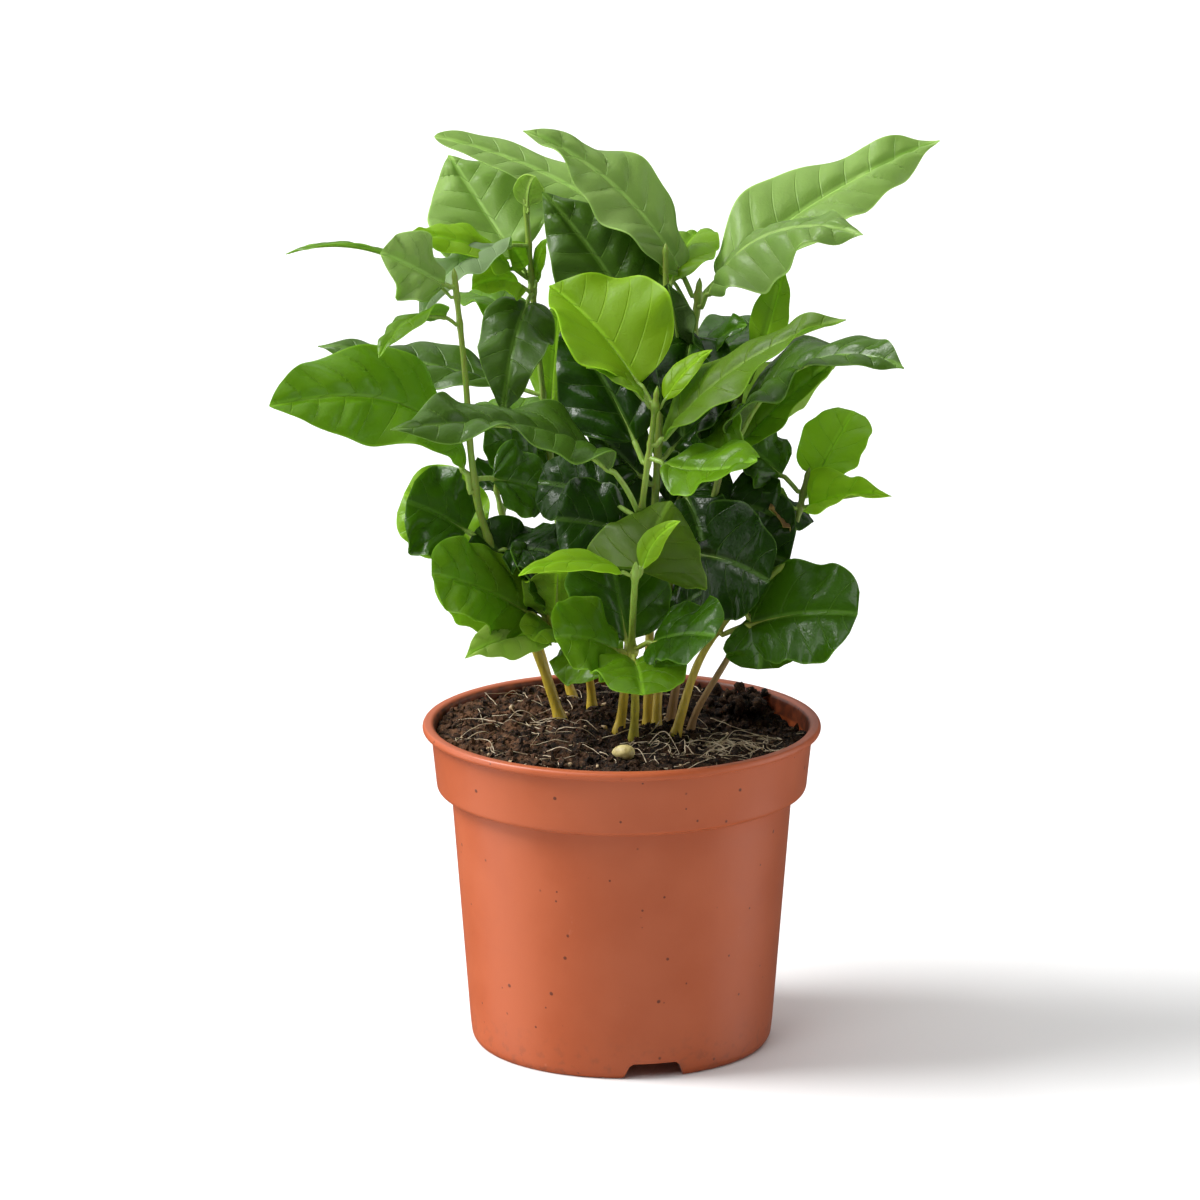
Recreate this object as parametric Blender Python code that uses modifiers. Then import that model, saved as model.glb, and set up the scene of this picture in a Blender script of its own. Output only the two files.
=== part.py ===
"""Potted coffee plant: eleven coffee seedlings in one 12 cm nursery pot.

Frame: metres, +Z up. The origin is where the pot's axis meets the plane it stands on,
+X is the plant's right and -Y its front. Lengths in the tables are in millimetres.
"""
import math
from dataclasses import dataclass

import bmesh
import bpy
import numpy as np
from mathutils import Matrix, Vector

MM = 0.001
GAP = 0.3                       # clearance between pieces that touch

# Pot: radii and heights above the plane it stands on
POT_HEIGHT = 98.5
POT_FOOT_RADIUS = 44.2
POT_BODY_RADIUS_LOW = 45.8
POT_BODY_RADIUS_HIGH = 51.3     # at the ledge under the band
POT_BAND_RADIUS_LOW = 55.7
POT_BAND_RADIUS_HIGH = 57.4
POT_LIP_RADIUS = 60.0
POT_LIP_DROP = 2.4              # height of the rolled lip
POT_BAND_BOTTOM = 78.5
POT_LEDGE_DROP = 0.9            # how much lower the ledge under the band is at the body
POT_WALL = 1.2
POT_CORNER = 2.0                # inner corner between wall and floor
POT_FLOOR_BOTTOM = 5.6
POT_FLOOR = 7.0                 # top of the raised floor
POT_FOOT_WIDTH = 2.2
POT_STEPS = 60
NOTCH_COUNT = 3
NOTCH_TURN = -77.4              # heading of the first notch, in degrees from +X
NOTCH_WIDTH = 16.0
NOTCH_HEIGHT = 4.8
DRAIN_HOLES = 6
DRAIN_RADIUS = 3.5
DRAIN_CIRCLE = 27.0

# Potting mix
SOIL_SIDE_GAP = 0.4
SOIL_LEVEL = 95.8               # height of the top of the mix in the middle
SOIL_CROWN = 0.4                # how much lower it lies at the wall
HOLLOW_PLACE = (40.0, 14.0)     # where the mix has sunk
HOLLOW_RADIUS = 13.0
HOLLOW_DEPTH = 8.5
SOIL_RINGS = 9
SOIL_STEPS = 40
SOCKET_DEPTH = 4.0              # how deep each stem's foot stands in the mix
SOCKET_SIDES = 10

# Seed husk lying on the mix
HUSK_SIZE = (7.0, 5.0, 3.6)
HUSK_PLACE = (1.0, -34.0)

# Leaves
LEAF_THICKNESS = 0.7
PETIOLE_WIDTH = 1.5
NODE_GAP = 0.6                  # from a stem's side to the end of a petiole
PETIOLE_LENGTH = 7.0
SPINE_STEPS = 40
LEAF_ROWS = 8
LEAF_COLUMNS = 4
STEM_SAMPLES = 4                # straight pieces between two of a stem's places
OUTLINES = {"true": (0.65, 1.05), "seed": (0.45, 0.42)}


@dataclass
class Stem:
    """A seedling's stem, through places from its foot upwards, the foot's height apart."""
    foot: tuple
    places: list
    foot_radius: float
    top_radius: float


STEMS = {
    "left_tall": Stem((-18.5, 11), [(-25.5, 10, 117), (-40.5, 2, 156), (-44.5, -3, 178),
                                    (-46.5, -2, 205), (-49.5, 2, 233)], 2.0, 0.8),
    "left_back": Stem((-21, 41), [(-25, 44, 110), (-33, 45, 138), (-38, 44, 158)], 1.3, 0.8),
    "upper_left": Stem((-15, 37), [(-17, 38, 106), (-19, 40, 145), (-23.5, 42, 185),
                                   (-27, 42, 221), (-29, 42, 248)], 1.5, 0.8),
    "low_left": Stem((-9, 25), [(-10, 23, 106), (-14, 13, 116), (-21, -1, 130)], 1.7, 0.9),
    "centre": Stem((-1, -4), [(0.5, -5, 106), (3, -12, 138), (6, -18, 169), (8.5, -20, 189),
                              (10, -20, 202)], 1.8, 0.8),
    "front": Stem((3.5, -12), [(4, -16, 110), (3, -28, 129), (4, -42, 155)], 1.6, 0.7),
    "top": Stem((8, 7.5), [(8, 8, 106), (9, 12, 142), (11, 16, 182), (13, 18, 217),
                           (13, 20, 237)], 1.7, 0.9),
    "right_top": Stem((10.5, 2), [(11, 4, 107), (15, 12, 145), (19, 20, 184),
                                  (23, 28, 225)], 1.6, 0.9),
    "right_mid": Stem((14.5, 7.5), [(16.5, 8, 108), (22, 9, 140), (31, 8, 180),
                                    (38.5, 16, 208)], 1.6, 0.9),
    "right_curved": Stem((16, -7.5), [(23, -5, 118), (34, -7, 135), (46, -9, 147)], 1.8, 0.9),
    "right_low": Stem((20.5, 0.5), [(23.5, 1.7, 103), (35, 6, 122), (50.5, 14, 151),
                                    (55.5, 18, 169)], 1.2, 0.8),
}


@dataclass
class Leaf:
    """A leaf, from its node on a stem to its tip.

    bend is how far the midrib turns down from base to tip, more of it near the base the
    larger early is, and sweep how far it turns left. roll turns the blade about the
    midrib, its left half upwards, and twist is how much more it is rolled at the tip
    than at the base. fold is the slope of the halves up from the midrib, and curl what
    is added to that slope at the edge.
    """
    name: str
    stem: str
    height: float
    tip: tuple
    width: float
    kind: str = "true"
    bend: float = 30.0
    early: float = 0.0
    sweep: float = 0.0
    roll: float = 0.0
    twist: float = 0.0
    fold: float = 0.15
    curl: float = -0.10
    petiole: float = PETIOLE_LENGTH


LEAVES = [
    Leaf("left_tall_1", "left_tall", 170, (-100, -40, 204), 35, bend=90, early=1, roll=-46),
    Leaf("left_tall_2", "left_tall", 173, (-20, 16, 177), 18, bend=50, roll=30),
    Leaf("left_tall_3", "left_tall", 220, (-71, -32, 216.5), 15, bend=85, roll=20, twist=-60),
    Leaf("left_tall_4", "left_tall", 228, (-99.8, 6, 240), 12, bend=70, roll=12),
    Leaf("left_tall_5", "left_tall", 231, (-70, -9, 242), 20, bend=10, roll=-55),
    Leaf("left_tall_6", "left_tall", 149, (-65.5, 18, 166), 29, "seed", roll=-65),
    Leaf("left_tall_7", "left_tall", 152, (-61, -2, 169), 25, "seed", bend=20, roll=-65, petiole=8),
    Leaf("left_tall_8", "left_tall", 148, (-15, -3, 154), 24, "seed", bend=40, roll=8),
    Leaf("left_back_1", "left_back", 152, (-30, 74, 160), 26, "seed", bend=50, roll=10),
    Leaf("upper_left_1", "upper_left", 226, (-54.5, 70, 258.5), 32, bend=0, roll=-25, petiole=12),
    Leaf("upper_left_2", "upper_left", 236, (-56, 10, 224), 9, bend=30, roll=-5, twist=-60),
    Leaf("upper_left_3", "upper_left", 221, (-33.5, 10, 188), 20, bend=60, roll=-5),
    Leaf("upper_left_4", "upper_left", 190, (-92.8, 56, 202), 22, bend=12, roll=-10),
    Leaf("upper_left_5", "upper_left", 179, (-19, 50, 219), 17, bend=10),
    Leaf("upper_left_6", "upper_left", 172, (-44, 73, 180), 30, bend=50),
    Leaf("low_left_1", "low_left", 127, (-56, -24, 153), 29, "seed", bend=20, roll=-55),
    Leaf("low_left_2", "low_left", 118.5, (-47, -37, 127.5), 15, bend=10, roll=-30),
    Leaf("low_left_3", "low_left", 117, (-10, -22, 119), 16, "seed", bend=60, roll=-10),
    Leaf("centre_1", "centre", 168, (-66, -74, 204.5), 30, bend=62, early=1.2, roll=-14,
         petiole=18),
    Leaf("centre_2", "centre", 184, (39, -50, 191), 26, bend=-30, roll=32, petiole=12),
    Leaf("centre_3", "centre", 188, (65, -34, 228.5), 26, bend=40, roll=10),
    Leaf("centre_4", "centre", 185, (-15, 2, 220), 24, bend=30, roll=-30),
    Leaf("centre_5", "centre", 200, (-21.5, 4, 231), 44, bend=30, roll=-22, fold=0.7, curl=0),
    Leaf("centre_6", "centre", 157, (-21, -20, 167), 26, "seed", bend=20, roll=-60),
    Leaf("centre_7", "centre", 168, (10, -31, 147.5), 33, "seed", bend=120),
    Leaf("centre_8", "centre", 140, (-11, -30, 134), 20, "seed", bend=30, roll=-45),
    Leaf("front_1", "front", 128, (27, -54, 137), 27, "seed", bend=30, roll=38),
    Leaf("front_2", "front", 126, (6.5, -62, 121.5), 28, "seed", bend=30, petiole=4),
    Leaf("front_3", "front", 154, (-30, -58, 157.5), 12, bend=50, roll=-10, petiole=3),
    Leaf("top_1", "top", 205, (-24, 32, 254), 31, bend=20, roll=-50),
    Leaf("top_2", "top", 180, (-2, 73, 212), 30, bend=50),
    Leaf("right_top_1", "right_top", 223.5, (97, 74, 262.5), 30, bend=28, early=0.5, roll=22,
         petiole=7),
    Leaf("right_top_2", "right_top", 220, (70.5, -12, 249.5), 20, bend=90, early=0.4, roll=30,
         petiole=5),
    Leaf("right_top_3", "right_top", 212, (18, -6, 187), 26, bend=100),
    Leaf("right_top_4", "right_top", 196, (48, 73, 205), 30, bend=50),
    Leaf("right_top_5", "right_top", 222, (-29.5, 30, 273), 29, bend=42, roll=-35, petiole=10),
    Leaf("right_top_6", "right_top", 218, (-57, 60, 266.5), 22, bend=60, early=0.6, sweep=50,
         roll=30, petiole=12),
    Leaf("right_mid_1", "right_mid", 178, (82.6, -24, 212), 34, bend=95, roll=15),
    Leaf("right_mid_2", "right_mid", 182, (66, 58, 196.5), 17, bend=40, roll=25),
    Leaf("right_mid_3", "right_mid", 205, (48.5, 12, 236), 13, bend=-10, roll=80),
    Leaf("right_curved_1", "right_curved", 145.5, (25.5, -30, 159), 33, "seed", bend=20, roll=-65,
         petiole=3),
    Leaf("right_curved_2", "right_curved", 144, (60.5, -28, 128), 35, "seed", bend=40, roll=48),
    Leaf("right_curved_3", "right_curved", 140, (35.5, 4, 161), 27, "seed", bend=10),
    Leaf("right_low_1", "right_low", 164, (70, 36, 185.5), 21, "seed", bend=10, roll=10),
    Leaf("right_low_2", "right_low", 166, (79.5, 4, 166), 14, bend=60, roll=45, twist=-50,
         petiole=2),
    Leaf("right_low_3", "right_low", 164, (34, 2, 186), 13, bend=20, roll=-25),
]

COLOURS = {
    "terracotta": ((0.50, 0.155, 0.070, 1), 0.45),
    "mix": ((0.030, 0.016, 0.010, 1), 0.95),
    "husk": ((0.55, 0.44, 0.18, 1), 0.60),
    "stem": ((0.22, 0.27, 0.05, 1), 0.50),
    "leaf_true": ((0.045, 0.150, 0.014, 1), 0.32),
    "leaf_seed": ((0.022, 0.095, 0.012, 1), 0.28),
}


def material(name):
    """A Principled material of the named colour and roughness."""
    made = bpy.data.materials.get(name)
    if made is None:
        made = bpy.data.materials.new(name)
        made.use_nodes = True
        shader = made.node_tree.nodes["Principled BSDF"]
        shader.inputs["Base Color"].default_value = COLOURS[name][0]
        shader.inputs["Roughness"].default_value = COLOURS[name][1]
    return made


def add_object(name, data, collection, material_name):
    """A new object with its material, linked to a collection."""
    made = bpy.data.objects.new(name, data)
    data.materials.append(material(material_name))
    collection.objects.link(made)
    return made


def mesh_from(bm, name):
    """A smooth-shaded mesh from a bmesh, which is freed."""
    bmesh.ops.recalc_face_normals(bm, faces=bm.faces)
    mesh = bpy.data.meshes.new(name)
    bm.to_mesh(mesh)
    bm.free()
    mesh.shade_smooth()
    mesh.set_sharp_from_angle(angle=math.radians(40))
    return mesh


def profile_mesh(name, outline):
    """A closed profile in the XZ plane, in millimetres, for a Screw modifier."""
    mesh = bpy.data.meshes.new(name)
    points = [(radius * MM, 0, height * MM) for radius, height in outline]
    edges = [(i, i + 1) for i in range(len(points) - 1)]
    mesh.from_pydata(points, edges, [])
    return mesh


def cutter(name, mesh, collection):
    """An object that only cuts others."""
    made = bpy.data.objects.new(name, mesh)
    collection.objects.link(made)
    made.hide_render = True
    made.display_type = "WIRE"
    return made


def cut(target, tool):
    """Cut one object out of another."""
    boolean = target.modifiers.new("cut_" + tool.name, "BOOLEAN")
    boolean.operation = "DIFFERENCE"
    boolean.solver = "EXACT"
    boolean.object = tool


# --- pot -------------------------------------------------------------------

def inner_wall():
    """The pot's inner wall from its mouth down to its floor, as (radius, height)."""
    return [
        (POT_BAND_RADIUS_HIGH - POT_WALL, POT_HEIGHT - 1.0),
        (POT_BAND_RADIUS_LOW - POT_WALL, POT_BAND_BOTTOM + 1.6),
        (POT_BODY_RADIUS_HIGH, POT_BAND_BOTTOM + 0.5),
        (POT_BODY_RADIUS_HIGH - POT_WALL, POT_BAND_BOTTOM - POT_LEDGE_DROP),
        (POT_BODY_RADIUS_LOW - POT_WALL, POT_FLOOR + POT_CORNER),
        (POT_BODY_RADIUS_LOW - POT_WALL - POT_CORNER, POT_FLOOR),
    ]


def pot_outline():
    """The pot's section, from its lip down the outside, under the floor and up the inside."""
    top = POT_HEIGHT
    lip = POT_LIP_RADIUS
    foot_inner = POT_FOOT_RADIUS - POT_FOOT_WIDTH
    mouth = POT_BAND_RADIUS_HIGH - POT_WALL
    outside = [
        (lip - 0.7, top), (lip, top - 0.8), (lip, top - 1.7), (lip - 0.8, top - POT_LIP_DROP),
        (POT_BAND_RADIUS_HIGH, top - POT_LIP_DROP - 0.2),
        (POT_BAND_RADIUS_LOW, POT_BAND_BOTTOM + 0.8), (POT_BAND_RADIUS_LOW - 0.6, POT_BAND_BOTTOM),
        (POT_BODY_RADIUS_HIGH, POT_BAND_BOTTOM - POT_LEDGE_DROP),
        (POT_BODY_RADIUS_LOW, 5.5), (POT_BODY_RADIUS_LOW - 0.6, 1.6), (POT_FOOT_RADIUS, 0),
        (foot_inner, 0), (foot_inner, POT_FLOOR_BOTTOM), (0, POT_FLOOR_BOTTOM), (0, POT_FLOOR),
    ]
    return outside + inner_wall()[::-1] + [(mouth + 0.8, top), (lip - 0.7, top)]


def around(bm, verts, radius, heading, height):
    """Move new verts to a radius, heading and height about the pot's axis, facing outwards."""
    bmesh.ops.translate(bm, vec=(radius * MM, 0, height * MM), verts=verts)
    bmesh.ops.rotate(bm, verts=verts, cent=(0, 0, 0), matrix=Matrix.Rotation(heading, 3, "Z"))


def build_pot(parts, cutters):
    """The turned pot, its drain notches and the drain holes in its floor."""
    pot = add_object("pot", profile_mesh("pot", pot_outline()), parts, "terracotta")
    turn = pot.modifiers.new("turn", "SCREW")
    turn.steps = turn.render_steps = POT_STEPS
    turn.use_merge_vertices = True
    turn.merge_threshold = 0.0001
    turn.use_smooth_shade = True
    bm = bmesh.new()
    for index in range(NOTCH_COUNT):
        block = bmesh.ops.create_cube(bm, size=MM)["verts"]
        bmesh.ops.scale(bm, vec=(12, NOTCH_WIDTH, 2 * NOTCH_HEIGHT), verts=block)
        heading = math.radians(NOTCH_TURN) + math.tau / NOTCH_COUNT * index
        around(bm, block, POT_FOOT_RADIUS, heading, 0)
    cut(pot, cutter("notch_cutter", mesh_from(bm, "notch_cutter"), cutters))
    bm = bmesh.new()
    for index in range(DRAIN_HOLES):
        hole = bmesh.ops.create_cone(bm, cap_ends=True, segments=16, radius1=DRAIN_RADIUS * MM,
                                     radius2=DRAIN_RADIUS * MM, depth=8 * MM)["verts"]
        heading = math.tau / DRAIN_HOLES * index
        around(bm, hole, DRAIN_CIRCLE, heading, (POT_FLOOR_BOTTOM + POT_FLOOR) / 2)
    cut(pot, cutter("drain_cutter", mesh_from(bm, "drain_cutter"), cutters))


# --- potting mix -----------------------------------------------------------

def soil_height(x, y):
    """Height of the top of the mix: level, a little lower at the wall, sunk at the hollow."""
    crown = SOIL_CROWN * (x * x + y * y) / POT_BAND_RADIUS_HIGH ** 2
    off = math.hypot(x - HOLLOW_PLACE[0], y - HOLLOW_PLACE[1]) / HOLLOW_RADIUS
    return SOIL_LEVEL - crown - HOLLOW_DEPTH * math.exp(-off * off)


def build_soil(parts, cutters):
    """The mix: a plug that fills the pot, with a socket round each stem's foot."""
    wall = [(radius - SOIL_SIDE_GAP, height + SOIL_SIDE_GAP) for radius, height in inner_wall()]
    wall = [(wall[-1][0], POT_FLOOR + GAP)] + wall[-2:0:-1]
    edge = wall[-1][0] + 1.0
    top = [(edge * (1 - ring / SOIL_RINGS), SOIL_LEVEL) for ring in range(SOIL_RINGS + 1)]
    bm = bmesh.new()
    line = [bm.verts.new((radius * MM, 0, height * MM))
            for radius, height in [(0, POT_FLOOR + GAP)] + wall + top]
    chain = [bm.edges.new(pair) for pair in zip(line, line[1:])]
    bmesh.ops.spin(bm, geom=line + chain, cent=(0, 0, 0), axis=(0, 0, 1), angle=math.tau,
                   steps=SOIL_STEPS, use_merge=True)
    bmesh.ops.remove_doubles(bm, verts=bm.verts, dist=0.01 * MM)
    for vert in bm.verts:
        if vert.co.z > (SOIL_LEVEL - 1) * MM:
            vert.co.z = soil_height(vert.co.x / MM, vert.co.y / MM) * MM
    soil = add_object("potting_mix", mesh_from(bm, "potting_mix"), parts, "mix")
    bm = bmesh.new()
    for stem in STEMS.values():
        x, y = stem.foot
        radius = (stem.foot_radius + 2 * GAP) * MM
        socket = bmesh.ops.create_cone(bm, cap_ends=True, segments=SOCKET_SIDES, radius1=radius,
                                       radius2=radius, depth=2 * SOCKET_DEPTH * MM)["verts"]
        lean = Vector((0, 0, 1)).rotation_difference(stem_lean(stem)).to_matrix()
        bmesh.ops.rotate(bm, verts=socket, cent=(0, 0, 0), matrix=lean)
        bmesh.ops.translate(bm, vec=(x * MM, y * MM, soil_height(x, y) * MM), verts=socket)
    cut(soil, cutter("socket_cutter", mesh_from(bm, "socket_cutter"), cutters))


def build_husk(parts):
    """The seed husk: a small egg-shaped shell half lying on the mix."""
    bm = bmesh.new()
    bmesh.ops.create_icosphere(bm, subdivisions=2, radius=0.5)
    x, y = HUSK_PLACE
    bmesh.ops.scale(bm, vec=[size * MM for size in HUSK_SIZE], verts=bm.verts)
    height = soil_height(x, y) + HUSK_SIZE[2] / 2 + GAP
    bmesh.ops.translate(bm, vec=(x * MM, y * MM, height * MM), verts=bm.verts)
    add_object("seed_husk", mesh_from(bm, "seed_husk"), parts, "husk")


# --- stems -----------------------------------------------------------------

def stem_foot(stem):
    """Where a stem comes out of the mix."""
    return Vector((*stem.foot, soil_height(*stem.foot)))


def stem_lean(stem):
    """The direction in which a stem leaves the mix."""
    return (Vector(stem.places[0]) - stem_foot(stem)).normalized()


def stem_line(stem):
    """Points along a stem, a smooth curve through its places, with the radius at each."""
    planted = stem_foot(stem) - stem_lean(stem) * (SOCKET_DEPTH - GAP)
    places = np.array([planted, stem_foot(stem)] + stem.places, float)
    padded = np.vstack([2 * places[0] - places[1], places, 2 * places[-1] - places[-2]])
    points = [places[0]]
    for a, b, c, d in zip(padded, padded[1:], padded[2:], padded[3:]):
        for share in np.linspace(0, 1, STEM_SAMPLES + 1)[1:]:
            points.append(0.5 * (2 * b + (c - a) * share + (2 * a - 5 * b + 4 * c - d) * share ** 2
                                 + (3 * b - a - 3 * c + d) * share ** 3))
    points = np.array(points)
    share = (points[:, 2] - points[0, 2]) / (points[-1, 2] - points[0, 2])
    radii = stem.foot_radius + (stem.top_radius - stem.foot_radius) * share ** 0.7
    return points, radii


def stem_at(stem, height):
    """The stem's middle and radius at a height."""
    points, radii = stem_line(stem)
    middle = [np.interp(height, points[:, 2], points[:, axis]) for axis in range(3)]
    return np.array(middle), np.interp(height, points[:, 2], radii)


def build_stem(name, stem, parts):
    """One stem: a tapering tube along its line."""
    points, radii = stem_line(stem)
    curve = bpy.data.curves.new("stem_" + name, "CURVE")
    curve.dimensions = "3D"
    curve.bevel_depth = MM
    curve.bevel_resolution = 2
    curve.use_fill_caps = True
    spline = curve.splines.new("POLY")
    spline.points.add(len(points) - 1)
    for target, point, radius in zip(spline.points, points, radii):
        target.co = (*(point * MM), 1)
        target.radius = radius
    add_object("stem_" + name, curve, parts, "stem")


# --- leaves ----------------------------------------------------------------

def spine(leaf):
    """A leaf's midrib: points with the blade's left and upper directions, and its length."""
    start, radius = stem_at(STEMS[leaf.stem], leaf.height)
    stem_up = stem_at(STEMS[leaf.stem], leaf.height - 1)[0] - start
    stem_up /= np.linalg.norm(stem_up)
    outward = (np.array(leaf.tip, float) - start) * (1, 1, 0)
    outward -= stem_up * outward.dot(stem_up)
    start += outward / np.linalg.norm(outward) * (radius + NODE_GAP + LEAF_THICKNESS / 2)
    chord = np.array(leaf.tip, float) - start
    share = np.linspace(0, 1, SPINE_STEPS + 1)
    rise = math.atan2(chord[2], math.hypot(chord[0], chord[1]))
    rise = rise + math.radians(leaf.bend) * (0.5 - share - leaf.early * share * (1 - share))
    heading = math.atan2(chord[1], chord[0]) + math.radians(leaf.sweep) * (share - 0.5)
    along = np.stack([np.cos(rise) * np.cos(heading), np.cos(rise) * np.sin(heading),
                      np.sin(rise)], axis=1)
    left = np.stack([-np.sin(heading), np.cos(heading), 0 * share], axis=1)
    points = np.vstack([np.zeros(3), np.cumsum((along[1:] + along[:-1]) / 2, axis=0)])
    turn = np.array(Vector(points[-1]).rotation_difference(Vector(chord)).to_matrix())
    scale = np.linalg.norm(chord) / np.linalg.norm(points[-1])
    points = start + scale * points @ turn.T
    along, left = along @ turn.T, left @ turn.T
    up = np.cross(along, left)
    roll = np.radians(leaf.roll + leaf.twist * (share - 0.5))[:, None]
    return (points, left * np.cos(roll) + up * np.sin(roll),
            up * np.cos(roll) - left * np.sin(roll), scale * SPINE_STEPS)


def half_width(leaf, share):
    """Half the blade's width, at a share of the blade's length from its base."""
    rising, falling = OUTLINES[leaf.kind]
    peak = rising / (rising + falling)
    return leaf.width / 2 * (share / peak) ** rising * ((1 - share) / (1 - peak)) ** falling


def leaf_point(leaf, line, along, across):
    """A point of the leaf: along runs 0 to 1 from stem to tip, across -1 to 1 edge to edge."""
    points, left, up, length = line
    stations = np.linspace(0, 1, SPINE_STEPS + 1)
    middle, left, up = (np.array([np.interp(along, stations, values[:, axis]) for axis in range(3)])
                        for values in (points, left, up))
    blade_start = leaf.petiole / length
    reach = PETIOLE_WIDTH / 2
    slope = 0.0
    if along > blade_start:
        reach = half_width(leaf, (along - blade_start) / (1 - blade_start))
        slope = leaf.fold + leaf.curl * abs(across)
    reach *= abs(across) / math.hypot(1, slope)
    return middle + math.copysign(reach, across) * left + reach * slope * up


def build_leaf(leaf, parts):
    """One leaf: a grid laid over its curved blade and petiole, given its thickness."""
    line = spine(leaf)
    blade_start = leaf.petiole / line[3]
    rows = LEAF_ROWS + 1
    bm = bmesh.new()
    bmesh.ops.create_grid(bm, x_segments=rows, y_segments=LEAF_COLUMNS, size=1)
    for vert in bm.verts:
        row = round((vert.co.x + 1) / 2 * rows)
        along = 0.0
        if row > 0:
            share = (1 - math.cos(math.pi * (row - 1 + 0.25) / (LEAF_ROWS + 0.25))) / 2
            along = blade_start + (1 - blade_start) * share
        vert.co = leaf_point(leaf, line, along, vert.co.y) * MM
    bmesh.ops.remove_doubles(bm, verts=bm.verts, dist=0.02 * MM)
    made = add_object("leaf_" + leaf.name, mesh_from(bm, "leaf_" + leaf.name), parts,
                      "leaf_" + leaf.kind)
    shell = made.modifiers.new("thickness", "SOLIDIFY")
    shell.thickness = LEAF_THICKNESS * MM
    shell.offset = 0
    shell.use_even_offset = False


def build():
    """The whole potted plant."""
    for old in list(bpy.data.objects):
        bpy.data.objects.remove(old)
    parts = bpy.data.collections.new("potted_coffee_plant")
    cutters = bpy.data.collections.new("cutters")
    for collection in (parts, cutters):
        bpy.context.scene.collection.children.link(collection)
    build_pot(parts, cutters)
    build_soil(parts, cutters)
    build_husk(parts)
    for name, stem in STEMS.items():
        build_stem(name, stem, parts)
    for leaf in LEAVES:
        build_leaf(leaf, parts)


build()
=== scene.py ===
"""Looks of the potted coffee plant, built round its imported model.

The tables and curves of the stems and leaves have the form of those in the part's own source,
with some leaves fitted further. Meshes are made in millimetres and scaled to metres at the end.
"""
import math
from dataclasses import dataclass

import bmesh
import bpy
import numpy as np
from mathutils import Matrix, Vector, noise


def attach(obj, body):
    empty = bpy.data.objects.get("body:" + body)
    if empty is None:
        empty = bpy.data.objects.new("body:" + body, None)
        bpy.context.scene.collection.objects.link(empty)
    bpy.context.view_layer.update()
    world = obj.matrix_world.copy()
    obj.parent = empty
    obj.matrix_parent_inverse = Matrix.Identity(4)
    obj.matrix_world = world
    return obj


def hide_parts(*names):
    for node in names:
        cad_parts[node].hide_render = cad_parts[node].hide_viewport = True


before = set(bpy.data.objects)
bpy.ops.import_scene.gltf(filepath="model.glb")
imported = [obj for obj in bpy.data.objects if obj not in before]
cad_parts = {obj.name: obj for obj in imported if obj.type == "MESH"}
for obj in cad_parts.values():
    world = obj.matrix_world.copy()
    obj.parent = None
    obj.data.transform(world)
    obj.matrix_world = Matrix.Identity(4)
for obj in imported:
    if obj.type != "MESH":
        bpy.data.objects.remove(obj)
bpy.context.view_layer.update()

MM = 0.001

# Pot, as in the part, but for a body 0.4 mm slimmer at the top and more steps
POT_HEIGHT = 98.5
POT_FOOT_RADIUS = 44.2
POT_BODY_RADIUS_LOW = 45.8
POT_BODY_RADIUS_HIGH = 50.9
POT_BAND_RADIUS_LOW = 55.7
POT_BAND_RADIUS_HIGH = 57.4
POT_LIP_RADIUS = 60.0
POT_LIP_DROP = 2.4
POT_BAND_BOTTOM = 78.5
POT_SHOULDER = 72.0
POT_WALL = 1.2
POT_FLOOR_BOTTOM = 5.6
POT_FLOOR = 7.0
POT_FOOT_WIDTH = 2.2
POT_STEPS = 256
CORNER_STEPS = 5
NOTCH_COUNT = 3
NOTCH_TURN = -77.4
NOTCH_TOP_WIDTH = 14.0
NOTCH_BOTTOM_WIDTH = 19.0
NOTCH_HEIGHT = 4.8
DRAIN_HOLES = 6
DRAIN_RADIUS = 3.5
DRAIN_CIRCLE = 27.0

# Potting mix, as in the part, but 0.1 mm higher, with a wider hollow and finer rings
SOIL_LEVEL = 95.9
SOIL_CROWN = 0.4
HOLLOW_PLACE = (40.0, 14.0)
HOLLOW_RADIUS = 16.0
HOLLOW_DEPTH = 9.0
SOCKET_DEPTH = 4.0
SOIL_RINGS = 100
SOIL_STEPS = 360
SOIL_LUMPS = 2.3                # height of the mix's lumps
CRUMB_SEED = 11
CRUMBS = 4200
CLODS = 16
CHIPS = 60
MOUND_CLODS = 64                # clods in the mound at the back right
MOUND_PLACE = (37, 31, 96.5)
MOUND_SPREAD = (3.4, 4.2, 1.9)
FIBRE_SEED = 23
FIBRES = 70
FIBRES_LEFT = 40                # more of them, of which those left of FIBRES_EDGE are kept
FIBRES_EDGE = -12
FIBRE_REACH = 54.5
MAT_FIBRES = 95                 # fibres of the root mat at the front right
MAT_PLACE = (32, -24, 0)
MAT_SPREAD = (10, 8, 0)

# Husk, a little fuller and nearer the front than the part's
HUSK_SIZE = (7.0, 5.0, 4.6)
HUSK_PLACE = (1.0, -36.5)
HUSK_TURN = math.radians(-18)

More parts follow.
